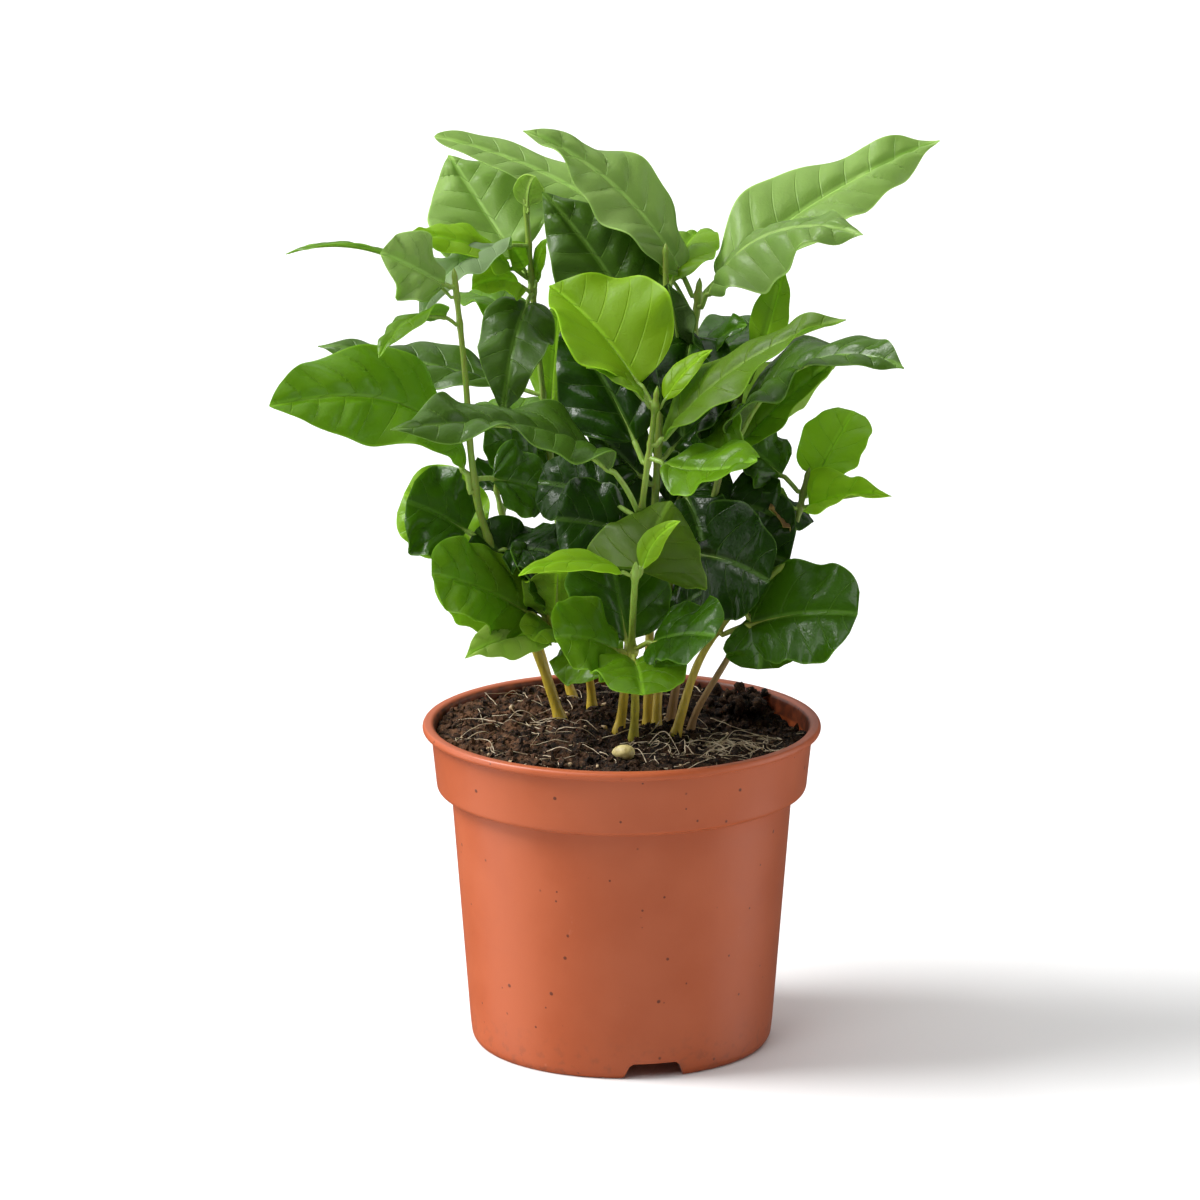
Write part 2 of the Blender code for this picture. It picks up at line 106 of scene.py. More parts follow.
# Leaves
LEAF_SEED = 100
GAP = 0.3
NODE_GAP = 0.6
CAD_THICKNESS = 0.7
THICKNESS = 0.36
FULL_WIDTH = 26                 # narrower blades are thinner, with less relief
PETIOLE_LENGTH = 7.0
SPINE_STEPS = 40
STEM_SAMPLES = 4
CELL = 1.0                      # size of a blade's mesh cells
VEIN_SPACING = 8.4
VEIN_ANGLE = math.radians(56)
KINDS = {"true": (1.70, 0.38, 1.0), "seed": (0.74, 0.50, 0.6)}     # slimness, widest place, swell
QUILT_HEIGHT = 2.6
SWELLINGS = 40                  # more than there are between the veins of half a blade
MIDRIB_GROOVE = (1.1, 1.5)      # depth, half width
WAVES = [(1.3, 2.1, 1.8, 1.8), (3.2, 4.4, 0.75, 2.4)]      # fewest, most, height, steepness
UNDERSIDE = (0.17, 0.25, 0.075)
UNDERSIDE_ROUGHNESS = 0.46
LIT_THROUGH = (0.42, 0.80, 0.05)

# Camera, in front of the plant and a little above it
CAMERA_PLACE = (0.0, -1.9, 0.605)
CAMERA_PITCH = 13.87
CAMERA_YAW = 0.197
CAMERA_LENS = 196.14
CAMERA_SENSOR = 36
CAMERA_REACH = 50               # how far it sees, in metres

# Studio light: a broad soft key from the upper left, and a sky that glows in places
KEY = ((-0.73, -0.02, 0.76), 3.65, 28)   # towards it, strength, width in degrees
# Each glow of the sky: towards it, the cosines of the angles that it fades in between, and
# its strength at each. They are overhead, at the two sides, and a small softbox in front.
SKY = [((-0.30, 0.30, 0.90), 0.35, 0.90, 0.10, 1.18),
       ((1.00, 0.00, 0.00), 0.80, 0.99, 0.00, 2.10),
       ((-1.00, 0.00, 0.00), 0.80, 0.99, 0.00, 2.10),
       ((-0.35, -0.62, 0.70), 0.962, 0.985, 0.00, 3.50)]


@dataclass
class Stem:
    """A seedling's stem, from its foot on the mix up through places, with its end radii."""
    foot: tuple
    places: list
    foot_radius: float
    top_radius: float
    bark: str = "green"


STEMS = {
    "left_tall": Stem((-18.5, 11), [(-25.5, 10, 117), (-40.5, 2, 156), (-44.5, -3, 178),
                                    (-46.5, -2, 205), (-49.5, 2, 233)], 2.0, 0.8),
    "left_back": Stem((-21, 41), [(-25, 44, 110), (-33, 45, 138), (-38, 44, 158)], 1.3, 0.8),
    "upper_left": Stem((-15, 37), [(-17, 38, 106), (-19, 40, 145), (-23.5, 42, 185),
                                   (-27, 42, 221), (-29, 42, 248)], 1.5, 0.8),
    "low_left": Stem((-9, 25), [(-10, 23, 106), (-14, 13, 116), (-21, -1, 130)], 1.7, 0.9),
    "centre": Stem((-1, -4), [(0.5, -5, 106), (3, -12, 138), (6, -18, 169), (8.5, -20, 189),
                              (10, -20, 202)], 1.8, 0.8),
    "front": Stem((3.5, -12), [(4, -16, 110), (3, -28, 129), (4, -42, 155)], 1.6, 0.9, "young"),
    "top": Stem((8, 7.5), [(8, 8, 106), (9, 12, 142), (11, 16, 182), (13, 18, 217),
                           (13, 20, 237)], 1.7, 0.9),
    "right_top": Stem((10.5, 2), [(11, 4, 107), (15, 12, 145), (19, 20, 184), (23, 28, 225)],
                      1.6, 0.9),
    "right_mid": Stem((14.5, 7.5), [(16.5, 8, 108), (22, 9, 140), (31, 8, 180), (38.5, 16, 208)],
                      1.6, 0.9, "brown"),
    "right_curved": Stem((16, -7.5), [(23, -5, 118), (34, -7, 135), (46, -9, 147)], 1.8, 0.9),
    "right_low": Stem((20.5, 0.5), [(23.5, 1.7, 103), (35, 6, 122), (50.5, 14, 151),
                                    (55.5, 18, 169)], 1.2, 0.8, "brown"),
}


@dataclass
class Leaf:
    """A leaf, from its node at a height on a stem to its tip.

    tone names its colours and kind its outline. bend is how far the midrib turns down from
    base to tip, more of it near the base the larger early is, and sweep how far it turns
    left. roll turns the blade about the midrib, its left half upwards, and twist is how much
    more it is rolled at the tip than at the base. fold is the slope of the halves up from
    the midrib, and curl what is added to that slope at the edge. peak is the widest place,
    where it isn't the kind's. wave is the height of the waves along the margins and quilt
    that of the swellings between the veins. stem is given where the name doesn't say it.
    """
    name: str
    height: float
    tip: tuple
    width: float
    tone: str
    kind: str = "true"
    bend: float = 30.0
    early: float = 0.0
    sweep: float = 0.0
    roll: float = 0.0
    twist: float = 0.0
    fold: float = 0.15
    curl: float = -0.10
    petiole: float = PETIOLE_LENGTH
    peak: float = 0.0
    wave: float = 1.0
    quilt: float = 0.65
    stem: str = ""

    def __post_init__(self):
        self.stem = self.stem or self.name.rsplit("_", 1)[0]


LEAVES = [
    Leaf("left_tall_1", 170, (-102.5, -40, 204), 35, "mid", bend=90, early=1, roll=-46, peak=0.5,
         wave=1.3),
    Leaf("left_tall_2", 173, (-20, 12, 165), 26, "dark", roll=52, petiole=5),
    Leaf("left_tall_3", 220, (-71, -32, 216.5), 15, "mid", bend=85, roll=20, twist=-60),
    Leaf("left_tall_4", 228, (-99.8, 6, 240), 12, "mid", bend=70, roll=12, wave=0.5),
    Leaf("left_tall_5", 231, (-71, -9, 243), 24, "silver_painted_sheen", bend=10, roll=-58, petiole=2, peak=0.5,
         wave=1.3),
    Leaf("left_tall_6", 148, (-65.5, 18, 164.5), 28, "fresh", "seed", roll=-65),
    Leaf("left_tall_7", 154, (-64, -4, 167), 29, "dark", "seed", bend=20, roll=-68, petiole=6,
         wave=1.5),
    Leaf("left_tall_8", 150, (-18, -4, 150), 24, "deep", "seed", bend=40, roll=22, petiole=2),
    Leaf("left_back_1", 152, (-30, 74, 160), 26, "deep", "seed", bend=50, roll=10),
    Leaf("upper_left_1", 226, (-53, 70, 258.5), 39, "silver_painted_sheen", bend=0, roll=-25, petiole=8, wave=1.7),
    Leaf("upper_left_2", 236, (-60, 6, 219), 16, "grey", bend=80, early=-0.6, roll=-5, twist=-60,
         wave=2.0),
    Leaf("upper_left_3", 221, (-35.5, 10, 190), 23, "shade", bend=60, roll=-10, petiole=4, peak=0.34,
         wave=2.2),
    Leaf("upper_left_4", 190, (-92.8, 56, 202), 22, "shade", bend=12, roll=-14, wave=1.5),
    Leaf("upper_left_5", 179, (-19, 50, 219), 17, "fresh", bend=10),
    Leaf("upper_left_6", 172, (-44, 73, 180), 30, "mid", bend=50),
    Leaf("low_left_1", 129, (-56, -24, 149.5), 31, "mid", "seed", bend=24, roll=-52, petiole=9,
         wave=1.3, quilt=1.2),
    # low_left_2 takes the pale tone to paint the white sheen on its face
    Leaf("low_left_2", 125, (-46, -37, 127.5), 16, "pale", roll=-36, petiole=5, wave=1.5, quilt=0.8),
    Leaf("low_left_3", 124, (-5, -24, 119), 25, "mid", "seed", bend=50, roll=40, petiole=4),
    Leaf("centre_1", 168, (-66, -74, 204.5), 31, "shade", bend=62, early=1.2, roll=-17, petiole=18,
         wave=1.9),
    Leaf("centre_2", 184, (39, -50, 190), 24, "mid", bend=-30, roll=28, petiole=4, peak=0.5),
    Leaf("centre_3", 188, (65, -34, 228.5), 24, "olive", bend=40, roll=24, petiole=3, wave=1.5,
         quilt=0.3),
    Leaf("centre_4", 182, (-17.5, 2, 221), 31, "deep", bend=20, roll=-48, wave=1.6),
    Leaf("centre_5", 200, (-21.5, 4, 231), 44, "bright", roll=-22, fold=0.6, curl=0, quilt=0.22,
         wave=1.3),
    Leaf("centre_6", 160, (-19.5, -16, 164.5), 27, "deep", "seed", bend=20, roll=-62, petiole=4),
    Leaf("centre_7", 152.5, (14.5, -22, 171.5), 43, "olive", "seed", roll=22, fold=-0.55, petiole=1.5,
         peak=0.24, quilt=0.4, stem="front"),
    Leaf("centre_8", 127, (-19.5, -46, 136), 27, "mid", "seed", roll=-52, petiole=3, stem="front"),
    Leaf("front_1", 129, (27, -54, 138.5), 26, "dark", "seed", roll=38),
    Leaf("front_2", 127, (6, -62, 123), 28, "mid", "seed", petiole=4),
    Leaf("front_3", 154, (-30, -58, 157.5), 14, "bright", bend=50, roll=-14, petiole=3, wave=0.5),
    Leaf("top_1", 205, (-24, 32, 254), 33, "shade", bend=20, roll=-52, wave=1.5),
    Leaf("top_2", 180, (-2, 73, 212), 30, "mid", bend=50),
    Leaf("right_top_1", 223.5, (97, 74, 262.5), 31, "silver_painted_sheen", bend=28, early=0.5, roll=24, wave=1.5),
    Leaf("right_top_2", 220, (70.5, -12, 249.5), 31, "sage", bend=80, early=0.4, roll=34, fold=-0.5,
         petiole=5, wave=1.8),
    Leaf("right_top_3", 212, (18, -6, 187), 28, "deep", bend=100),
    Leaf("right_top_4", 196, (48, 73, 205), 30, "dark", bend=50),
    Leaf("right_top_5", 223, (-29.5, 30, 273), 27, "silver_painted_sheen", bend=48, roll=-36, wave=1.7),
    Leaf("right_top_6", 218, (-57, 60, 266), 15, "silver_painted_sheen", bend=38, early=0.6, sweep=50, roll=-34,
         petiole=12, peak=0.66, wave=1.6),
    Leaf("right_mid_1", 178, (82.6, -24, 212), 35, "shade", bend=95, roll=18, petiole=5, wave=1.8),
    Leaf("right_mid_2", 182, (66, 58, 196.5), 18, "pale", bend=40, roll=30, wave=1.6),
    Leaf("right_mid_3", 200, (48, 12, 236), 12, "fresh", bend=-10, roll=74),
    Leaf("right_curved_1", 147, (43.5, -20, 146.5), 36, "deep", "seed", roll=76, petiole=8, quilt=0.3,
         stem="right_top"),
    Leaf("right_curved_2", 128, (69.5, -26, 138), 33, "dark", "seed", roll=58, petiole=10, quilt=0.2),
    Leaf("right_curved_3", 152, (50, 3, 147), 38, "deep", "seed", bend=10, roll=68, petiole=4,
         stem="right_mid"),
    Leaf("right_low_1", 164, (70, 34, 186.5), 22, "fresh", "seed", bend=10, roll=14, wave=0.7),
    Leaf("right_low_2", 161, (80.5, 4, 167), 19, "bright", roll=35, fold=0.55, curl=0, petiole=1,
         peak=0.2),
    Leaf("right_low_3", 165, (36, 18, 180), 23, "dark", bend=20, roll=-38),
]

# Small, young and half-hidden leaves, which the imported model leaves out
SMALL_LEAVES = [
    Leaf("upper_left_7", 226, (-63.5, 14, 244.5), 18, "bright", roll=-32),
    Leaf("upper_left_8", 222, (-45, 24, 226), 16, "bright", bend=60, roll=-35, petiole=4),
    Leaf("upper_left_9", 227, (-34.5, 37, 237.5), 10, "fresh", roll=-70, petiole=2, wave=0.3),
    Leaf("upper_left_10", 223, (-22.5, 36, 239), 10, "mid", roll=70, petiole=2, wave=0.3),
    Leaf("upper_left_11", 246, (-26, 36, 258), 10, "pale", bend=80, roll=-40, petiole=2, wave=0.3),
    Leaf("centre_9", 199, (-10.5, -24, 212), 12, "fresh", bend=60, roll=-15, petiole=3, wave=0.4),
    Leaf("centre_10", 199, (26.5, -16, 215.6), 9, "bright", bend=40, roll=30, petiole=3, wave=0.3),
    Leaf("centre_11", 165, (-25, 0, 172), 24, "deep", "seed", roll=-55, petiole=9),
    Leaf("front_4", 154, (17, -44, 170.5), 8, "bright", bend=60, roll=60, petiole=2, wave=0.3),
    Leaf("front_5", 126, (-4, -12, 156), 33, "dark", "seed", bend=10, roll=-6, petiole=3, wave=1.2),
    Leaf("low_left_4", 129, (-19, -12, 147.5), 21, "bright", "seed", bend=20, petiole=4),
    Leaf("low_left_5", 128, (-33, -8, 153), 17, "dark", "seed", roll=-40),
    Leaf("low_left_6", 126, (-26.5, -18, 128), 14, "fresh", "seed", bend=60, roll=-30, petiole=2),
    Leaf("low_left_7", 125, (-56, -10, 146), 26, "fresh", "seed", bend=20, roll=-58, petiole=12),
    Leaf("low_left_8", 129, (-43.5, 2, 157), 26, "deep", "seed", bend=20, roll=-52, petiole=4),
    Leaf("top_3", 166, (24, 0, 154), 20, "deep", "seed", bend=40, roll=25, petiole=3, stem="right_top"),
    Leaf("top_10", 126, (27, -2, 140), 27, "deep", "seed", bend=20, roll=52, petiole=4),
    Leaf("top_4", 150, (2, 52, 152), 26, "deep", "seed", bend=60),
    Leaf("top_6", 168, (-12, 8, 189), 26, "deep", bend=10, roll=-60, petiole=4),
    Leaf("top_7", 176, (34, 20, 196), 28, "deep", bend=20, roll=55, petiole=4),
    Leaf("top_8", 158, (32, 16, 172), 26, "deep", "seed", bend=20, roll=60, petiole=4),
    Leaf("top_9", 152, (-8, 16, 168), 26, "deep", "seed", bend=20, roll=-60, petiole=4),
    Leaf("upper_left_13", 158, (-41, 28, 184), 24, "dark", "seed", bend=20, roll=-62, petiole=4),
    Leaf("right_mid_4", 164, (45, 6, 160.5), 25, "deep", "seed", bend=40, roll=48, petiole=3),
    Leaf("right_mid_5", 158, (57, 24, 156), 20, "deep", "seed", bend=50, roll=20),
    Leaf("right_mid_6", 194, (29, -4, 176), 20, "mid", bend=60, roll=40, petiole=3, wave=1.5),
    Leaf("right_mid_7", 179, (63.6, 5, 207.6), 14, "mid", bend=20, roll=42, petiole=3, wave=1.2),
    Leaf("right_low_4", 152, (44, 4, 163), 12, "withered", bend=40, roll=-40, petiole=3),
    Leaf("right_low_5", 160, (43, 10, 164), 10, "fresh", bend=20, roll=-50, petiole=2),
    Leaf("right_curved_4", 136, (41, -10, 117), 24, "dark", "seed", bend=60, roll=45, petiole=3),
    Leaf("left_back_2", 142, (-58, 50, 148), 22, "dark", "seed", bend=40),
    Leaf("left_back_3", 154, (-14, 60, 170), 22, "deep", "seed", roll=30),
    Leaf("top_5", 224, (24, 60, 236), 22, "fresh", bend=60),
    Leaf("right_top_7", 168, (26, 64, 172), 26, "dark", "seed", bend=50),
    Leaf("right_top_8", 196, (14, 2, 232), 26, "deep", bend=20, roll=-40, petiole=3),
    Leaf("right_top_9", 204, (37, 4, 219), 17, "dark", bend=20, roll=45, petiole=3),
    Leaf("right_top_10", 177, (36, 2, 207), 28, "deep", roll=48, petiole=3),
    Leaf("upper_left_12", 206, (-50, 72, 214), 22, "mid", bend=60),
]

# Colours of a blade between its veins, darker and lighter, how much light it lets through, and
# the roughness of its upper face
TONES = {
    "deep": ((0.006, 0.028, 0.001), (0.015, 0.052, 0.001), 0.08, 0.18),
    "dark": ((0.018, 0.063, 0.001), (0.040, 0.114, 0.002), 0.20, 0.18),
    "mid": ((0.060, 0.138, 0.002), (0.116, 0.226, 0.005), 0.35, 0.21),
    "fresh": ((0.140, 0.262, 0.008), (0.225, 0.372, 0.018), 0.45, 0.24),
    # painted sheen: this tone is leaf green lightened and greyed as by the sheen on upward-facing
    # leaves
    "silver_painted_sheen": ((0.155, 0.255, 0.057), (0.280, 0.410, 0.115), 0.35, 0.32),
    # painted sheen: this tone is a darker leaf green, greyed as by the sheen on upward-facing leaves
    "sage": ((0.105, 0.180, 0.035), (0.190, 0.275, 0.075), 0.35, 0.30),
    "shade": ((0.025, 0.066, 0.004), (0.064, 0.136, 0.012), 0.15, 0.27),
    "grey": ((0.160, 0.235, 0.110), (0.260, 0.350, 0.185), 0.35, 0.38),
    "bright": ((0.190, 0.340, 0.004), (0.265, 0.435, 0.010), 0.50, 0.36),
    "olive": ((0.060, 0.108, 0.002), (0.098, 0.164, 0.004), 0.40, 0.40),
    # pale is the pale colour of some leaves, and on low_left_2 it also paints a white sheen
    "pale": ((0.230, 0.320, 0.055), (0.320, 0.420, 0.100), 0.50, 0.40),
    "withered": ((0.110, 0.045, 0.015), (0.190, 0.090, 0.030), 0.30, 0.60),
}
BARKS = {
    "green": ((0.600, 0.420, 0.038), (0.190, 0.330, 0.034)),
    "young": ((0.480, 0.420, 0.045), (0.250, 0.430, 0.062)),
    "brown": ((0.380, 0.215, 0.085), (0.200, 0.290, 0.045)),
}


# --- materials ---

class Nodes:
    """A node tree, built a node at a time."""

    def __init__(self, tree):
        self.tree = tree

    def node(self, kind, inputs=(), **settings):
        """A new node with its settings and its inputs, which are values or sockets."""
        made = self.tree.nodes.new(kind)
        for key, value in settings.items():
            setattr(made, key, value)
        for key, value in dict(inputs).items():
            self.set(made.inputs[key], value)
        return made

    def set(self, socket, value):
        """Give a socket a value, or link another socket to it."""
        if isinstance(value, bpy.types.NodeSocket):
            self.tree.links.new(value, socket)
        elif isinstance(value, tuple) and len(value) == 3 and socket.type == "RGBA":
            socket.default_value = (*value, 1)
        else:
            socket.default_value = value

    def math(self, operation, a, b=0.0):
        return self.node("ShaderNodeMath", {0: a, 1: b}, operation=operation).outputs[0]

    def times(self, a, b):
        return self.math("MULTIPLY", a, b)

    def plus(self, a, b):
        return self.math("ADD", a, b)

    def mix(self, factor, a, b):
        """A colour between a and b."""
        made = self.node("ShaderNodeMix", data_type="RGBA", clamp_factor=True)
        for name, kind, value in (("Factor", "VALUE", factor), ("A", "RGBA", a), ("B", "RGBA", b)):
            self.set(next(s for s in made.inputs if (s.name, s.type) == (name, kind)), value)
        return next(s for s in made.outputs if s.type == "RGBA")

    def ramp(self, value, low, high, to_low=0.0, to_high=1.0):
        """value taken smoothly from low..high to to_low..to_high."""
        return self.node("ShaderNodeMapRange", {"Value": value, "From Min": low, "From Max": high,
                                                "To Min": to_low, "To Max": to_high},
                         interpolation_type="SMOOTHSTEP").outputs[0]


class Shading(Nodes):
    """A material's node tree, with its Principled shader."""

    def __init__(self, name):
        self.material = bpy.data.materials.new(name)
        self.material.use_nodes = True
        super().__init__(self.material.node_tree)
        self.shader = self.tree.nodes["Principled BSDF"]

    def principled(self, **values):
        """Set the shader's sockets, named with underscores for spaces."""
        for key, value in values.items():
            self.set(self.shader.inputs[key.replace("_", " ")], value)

    def place(self):
        return self.node("ShaderNodeTexCoord").outputs["Object"]

    def axis(self, vector, index):
        return self.node("ShaderNodeSeparateXYZ", {0: vector}).outputs[index]

    def uv(self, name):
        return self.node("ShaderNodeUVMap", uv_map=name).outputs[0]

    def noise(self, size, detail=3.0, rough=0.5, place=None):
        """Noise, 0 to 1, with features of about a size in millimetres."""
        return self.node("ShaderNodeTexNoise",
                         {"Vector": place or self.place(), "Scale": 1 / (size * MM),
                          "Detail": detail, "Roughness": rough}).outputs["Fac"]

    def cells(self, size, feature="F1"):
        """Voronoi cells of about a size in millimetres."""
        return self.node("ShaderNodeTexVoronoi",
                         {"Vector": self.place(), "Scale": 1 / (size * MM)}, feature=feature)

    def bump(self, *layers):
        """The shader's normal from (height, millimetres) layers."""
        normal = None
        for height, depth in layers:
            inputs = {"Height": height, "Distance": depth * MM, "Strength": 1.0}
            if normal:
                inputs["Normal"] = normal
            normal = self.node("ShaderNodeBump", inputs).outputs[0]
        self.set(self.shader.inputs["Normal"], normal)
        return normal


def leaf_material(tone, face):
    """A leaf's upper or lower face: veins by the blade's own coordinates, a lighter margin that is
    partly a painted rim highlight, gloss, light through.
    """
    dark, light, through, gloss = TONES[tone]
    made = Shading(f"leaf_{tone}_{face}")
    upper = face == "upper"
    blade, veins = made.uv("blade"), made.uv("veins")
    off_midrib = made.math("ABSOLUTE", made.axis(blade, 0))
    outwards, rank = made.axis(veins, 0), made.axis(veins, 1)
    off_vein = made.math("ABSOLUTE", made.math("SUBTRACT", made.math("FRACT", rank), 0.5))
    side_vein = made.times(made.ramp(off_vein, 0.450, 0.495),
                           made.ramp(outwards, 0.98, 0.55, 0.15, 1.0))
    midrib = made.ramp(off_midrib, 1.15, 0.50)
    patches = made.noise(14)
    flecks = made.noise(1.6, detail=4)
    # painted shade of the quilting: each panel between the veins is a little lighter or darker at
    # random, partly tone of its own
    panel_painted_shade = made.node("ShaderNodeTexWhiteNoise", {"W": made.math("FLOOR", rank)},
                      noise_dimensions="1D").outputs["Value"]
    shade = made.plus(made.times(patches, 0.55), made.times(flecks, 0.30))
    colour = made.mix(made.plus(shade, made.times(panel_painted_shade, 0.25)), dark, light)
    rough = gloss if upper else UNDERSIDE_ROUGHNESS
    vein_and_rim_highlight_colour = tuple(1.45 * c + d for c, d in zip(light, (0.045, 0.070, 0.018)))
    if not upper:
        colour = made.mix(0.30, colour, UNDERSIDE)
    colour = made.mix(made.times(side_vein, 0.45), colour, vein_and_rim_highlight_colour)
    colour = made.mix(made.times(midrib, 0.85), colour, vein_and_rim_highlight_colour)
    # lighter margin: partly the blade's own paler edge, partly a painted rim highlight
    colour = made.mix(made.ramp(outwards, 0.955, 0.99, 0.0, 0.80), colour, vein_and_rim_highlight_colour)
    made.principled(Base_Color=colour, Specular_IOR_Level=0.28,
                    Roughness=made.ramp(patches, 0.3, 0.7, rough, rough + 0.13))
    net = made.cells(1.3, "DISTANCE_TO_EDGE").outputs["Distance"]
    normal = made.bump((made.ramp(net, 0.0, 0.25), 0.02 if upper else 0.06),
                       (made.noise(7.0), 0.45), (side_vein, -0.20))
    glow = made.mix(side_vein, tuple(min(1.0, 0.30 + 2.4 * c) for c in light),
                    tuple(0.30 + 1.2 * c for c in light))
    glow = made.mix(0.7, glow, LIT_THROUGH)
    behind = made.node("ShaderNodeBsdfTranslucent", {"Color": glow, "Normal": normal})
    both = made.node("ShaderNodeMixShader", {0: through, 1: made.shader.outputs[0],
                                             2: behind.outputs[0]})
    made.set(made.tree.nodes["Material Output"].inputs["Surface"], both.outputs[0])
    return made.material


def stem_material(bark):
    """Stems and petioles: brownish at the foot, green above, with fine streaks and specks."""
    foot, shoot = BARKS[bark]
    made = Shading(f"stem_{bark}")
    place = made.place()
    height = made.ramp(made.axis(place, 2), 0.100, 0.150)
    streaks = made.node("ShaderNodeMapping", {"Vector": place, "Scale": (1.0, 1.0, 0.08)})
    fibre = made.noise(0.7, detail=4, place=streaks.outputs[0])
    colour = made.mix(height, foot, shoot)
    colour = made.mix(made.ramp(fibre, 0.35, 0.75, 0.0, 0.45), colour,
                      tuple(0.45 * c for c in foot))
    speck = made.cells(1.1).outputs["Distance"]
    colour = made.mix(made.ramp(speck, 0.22, 0.08, 0.0, 0.5), colour, (0.34, 0.30, 0.16))
    made.principled(Base_Color=colour, Roughness=made.ramp(fibre, 0.3, 0.7, 0.34, 0.52))
    made.bump((fibre, 0.12), (made.ramp(speck, 0.2, 0.05), 0.06))
    return made.material


def pot_material():
    """Moulded terracotta-coloured plastic: satin, faintly mottled, with dirt and scuffs."""
    made = Shading("pot_plastic")
    place = made.place()
    mottle = made.noise(22, detail=5)
    grain = made.noise(0.5, detail=2)
    colour = made.mix(made.ramp(mottle, 0.3, 0.7), (0.405, 0.084, 0.024), (0.440, 0.096, 0.029))
    upright = made.node("ShaderNodeMapping", {"Vector": place, "Scale": (1.0, 1.0, 0.25)})
    rubbed = made.noise(7, detail=8, rough=0.7, place=upright.outputs[0])
    scuff = made.times(made.ramp(rubbed, 0.62, 0.74),
                       made.ramp(made.noise(1.1, detail=5), 0.52, 0.66))
    colour = made.mix(made.times(scuff, 0.30), colour, (0.66, 0.34, 0.22))
    # darker in patches towards the bottom of the pot
    low_down = made.ramp(made.axis(place, 2), 0.018, 0.0)
    dust = made.times(made.ramp(made.noise(2.4, detail=6), 0.50, 0.70), low_down)
    colour = made.mix(made.times(dust, 0.35), colour, (0.16, 0.055, 0.028))
    ragged = made.times(made.noise(1.2, detail=3), 0.05)
    speck = 0.0
    for size, radius, rare in ((8.0, 0.095, 0.35), (3.2, 0.15, 0.90)):
        spots = made.cells(size)
        off = made.plus(spots.outputs["Distance"], ragged)
        here = made.math("GREATER_THAN", made.axis(spots.outputs["Color"], 0), rare)
        spot = made.ramp(off, radius + 0.02, 0.6 * radius + 0.02)
        speck = made.math("MAXIMUM", speck, made.times(here, spot))
    colour = made.mix(made.times(speck, 0.8), colour, (0.080, 0.022, 0.012))
    across = made.node("ShaderNodeVectorMath", {0: place, 1: (1.0, 1.0, 0.0)},
                       operation="MULTIPLY").outputs[0]
    off_axis = made.node("ShaderNodeVectorMath", {0: across}, operation="LENGTH").outputs["Value"]
    inside = made.times(made.ramp(off_axis, 0.0569, 0.0564),
                        made.ramp(made.axis(place, 2), 0.0925, 0.0935))
    soiled = made.times(inside, made.ramp(made.noise(4, detail=6), 0.30, 0.62, 0.5, 1.0))
    colour = made.mix(soiled, colour, (0.095, 0.022, 0.010))
    made.principled(Base_Color=colour, Specular_IOR_Level=0.45,
                    Roughness=made.ramp(made.plus(mottle, scuff), 0.3, 1.0, 0.36, 0.55))
    made.bump((grain, 0.018), (mottle, 0.12), (speck, 0.05))
    return made.material


def soil_material():
    """Moist peat: near-black with brown and reddish bits, with painted light making it lighter and
    browner towards the left.
    """
    made = Shading("peat")
    clods, grit = made.noise(3.5, detail=6, rough=0.65), made.noise(0.7, detail=5, rough=0.7)
    # painted light: the mix is lighter and browner towards the left, the side the key light comes from
    painted_light_left = made.ramp(made.axis(made.place(), 0), -0.002, -0.034)
    colour = made.mix(made.ramp(clods, 0.40, 0.64),
                      made.mix(painted_light_left, (0.0045, 0.0024, 0.0014), (0.016, 0.0085, 0.0050)),
                      made.mix(painted_light_left, (0.058, 0.028, 0.0140), (0.145, 0.068, 0.0340)))
    colour = made.mix(made.ramp(grit, 0.54, 0.68, 0.0, 0.9), colour, (0.200, 0.118, 0.066))
    colour = made.mix(made.ramp(made.noise(1.6, detail=4), 0.66, 0.74), colour,
                      (0.150, 0.038, 0.016))
    made.principled(Base_Color=colour, Specular_IOR_Level=0.2,
                    Roughness=made.ramp(clods, 0.3, 0.7, 0.70, 0.95))
    made.bump((grit, 0.6), (clods, 0.9))
    return made.material


def plain_material(name, dark, light, size, roughness, depth):
    """A natural surface that varies between two colours in patches of a size."""
    made = Shading(name)
    patches = made.noise(size, detail=5)
    made.principled(Base_Color=made.mix(made.ramp(patches, 0.3, 0.7), dark, light),
                    Roughness=made.ramp(patches, 0.3, 0.7, roughness, roughness + 0.15))
    made.bump((patches, depth))
    return made.material


# --- meshes ---

def new_object(name, data):
    """A new object in the scene."""
    made = bpy.data.objects.new(name, data)
    bpy.context.scene.collection.objects.link(made)
    return made


def from_bmesh(name, bm):
    """A new object in the scene whose mesh is a bmesh, which is freed."""
    mesh = bpy.data.meshes.new(name)
    bm.to_mesh(mesh)
    bm.free()
    return new_object(name, mesh)


def mesh_piece(name, points, faces, materials, uvs=(), indices=None, sharp=50, nodes=()):
    """A piece of the plant, from points in millimetres, that rides on the one body."""
    mesh = bpy.data.meshes.new(name)
    mesh.from_pydata((np.asarray(points) * MM).tolist(), [], faces)
    for material in materials:
        mesh.materials.append(material)
    if indices is not None:
        mesh.polygons.foreach_set("material_index", indices)
    if uvs:
        corner = np.empty(len(mesh.loops), np.int32)
        mesh.loops.foreach_get("vertex_index", corner)
        for layer, values in uvs.items():
            mesh.uv_layers.new(name=layer).uv.foreach_set("vector", values[corner].ravel())
    mesh.shade_smooth()
    mesh.set_sharp_from_angle(angle=math.radians(sharp))
    piece(name, mesh, nodes)


def piece(name, mesh, nodes):
    """Put a mesh in the scene as a piece that stands for nodes."""
    made = new_object(name, mesh)
    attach(made, "root")
    if nodes:
        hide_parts(*nodes)


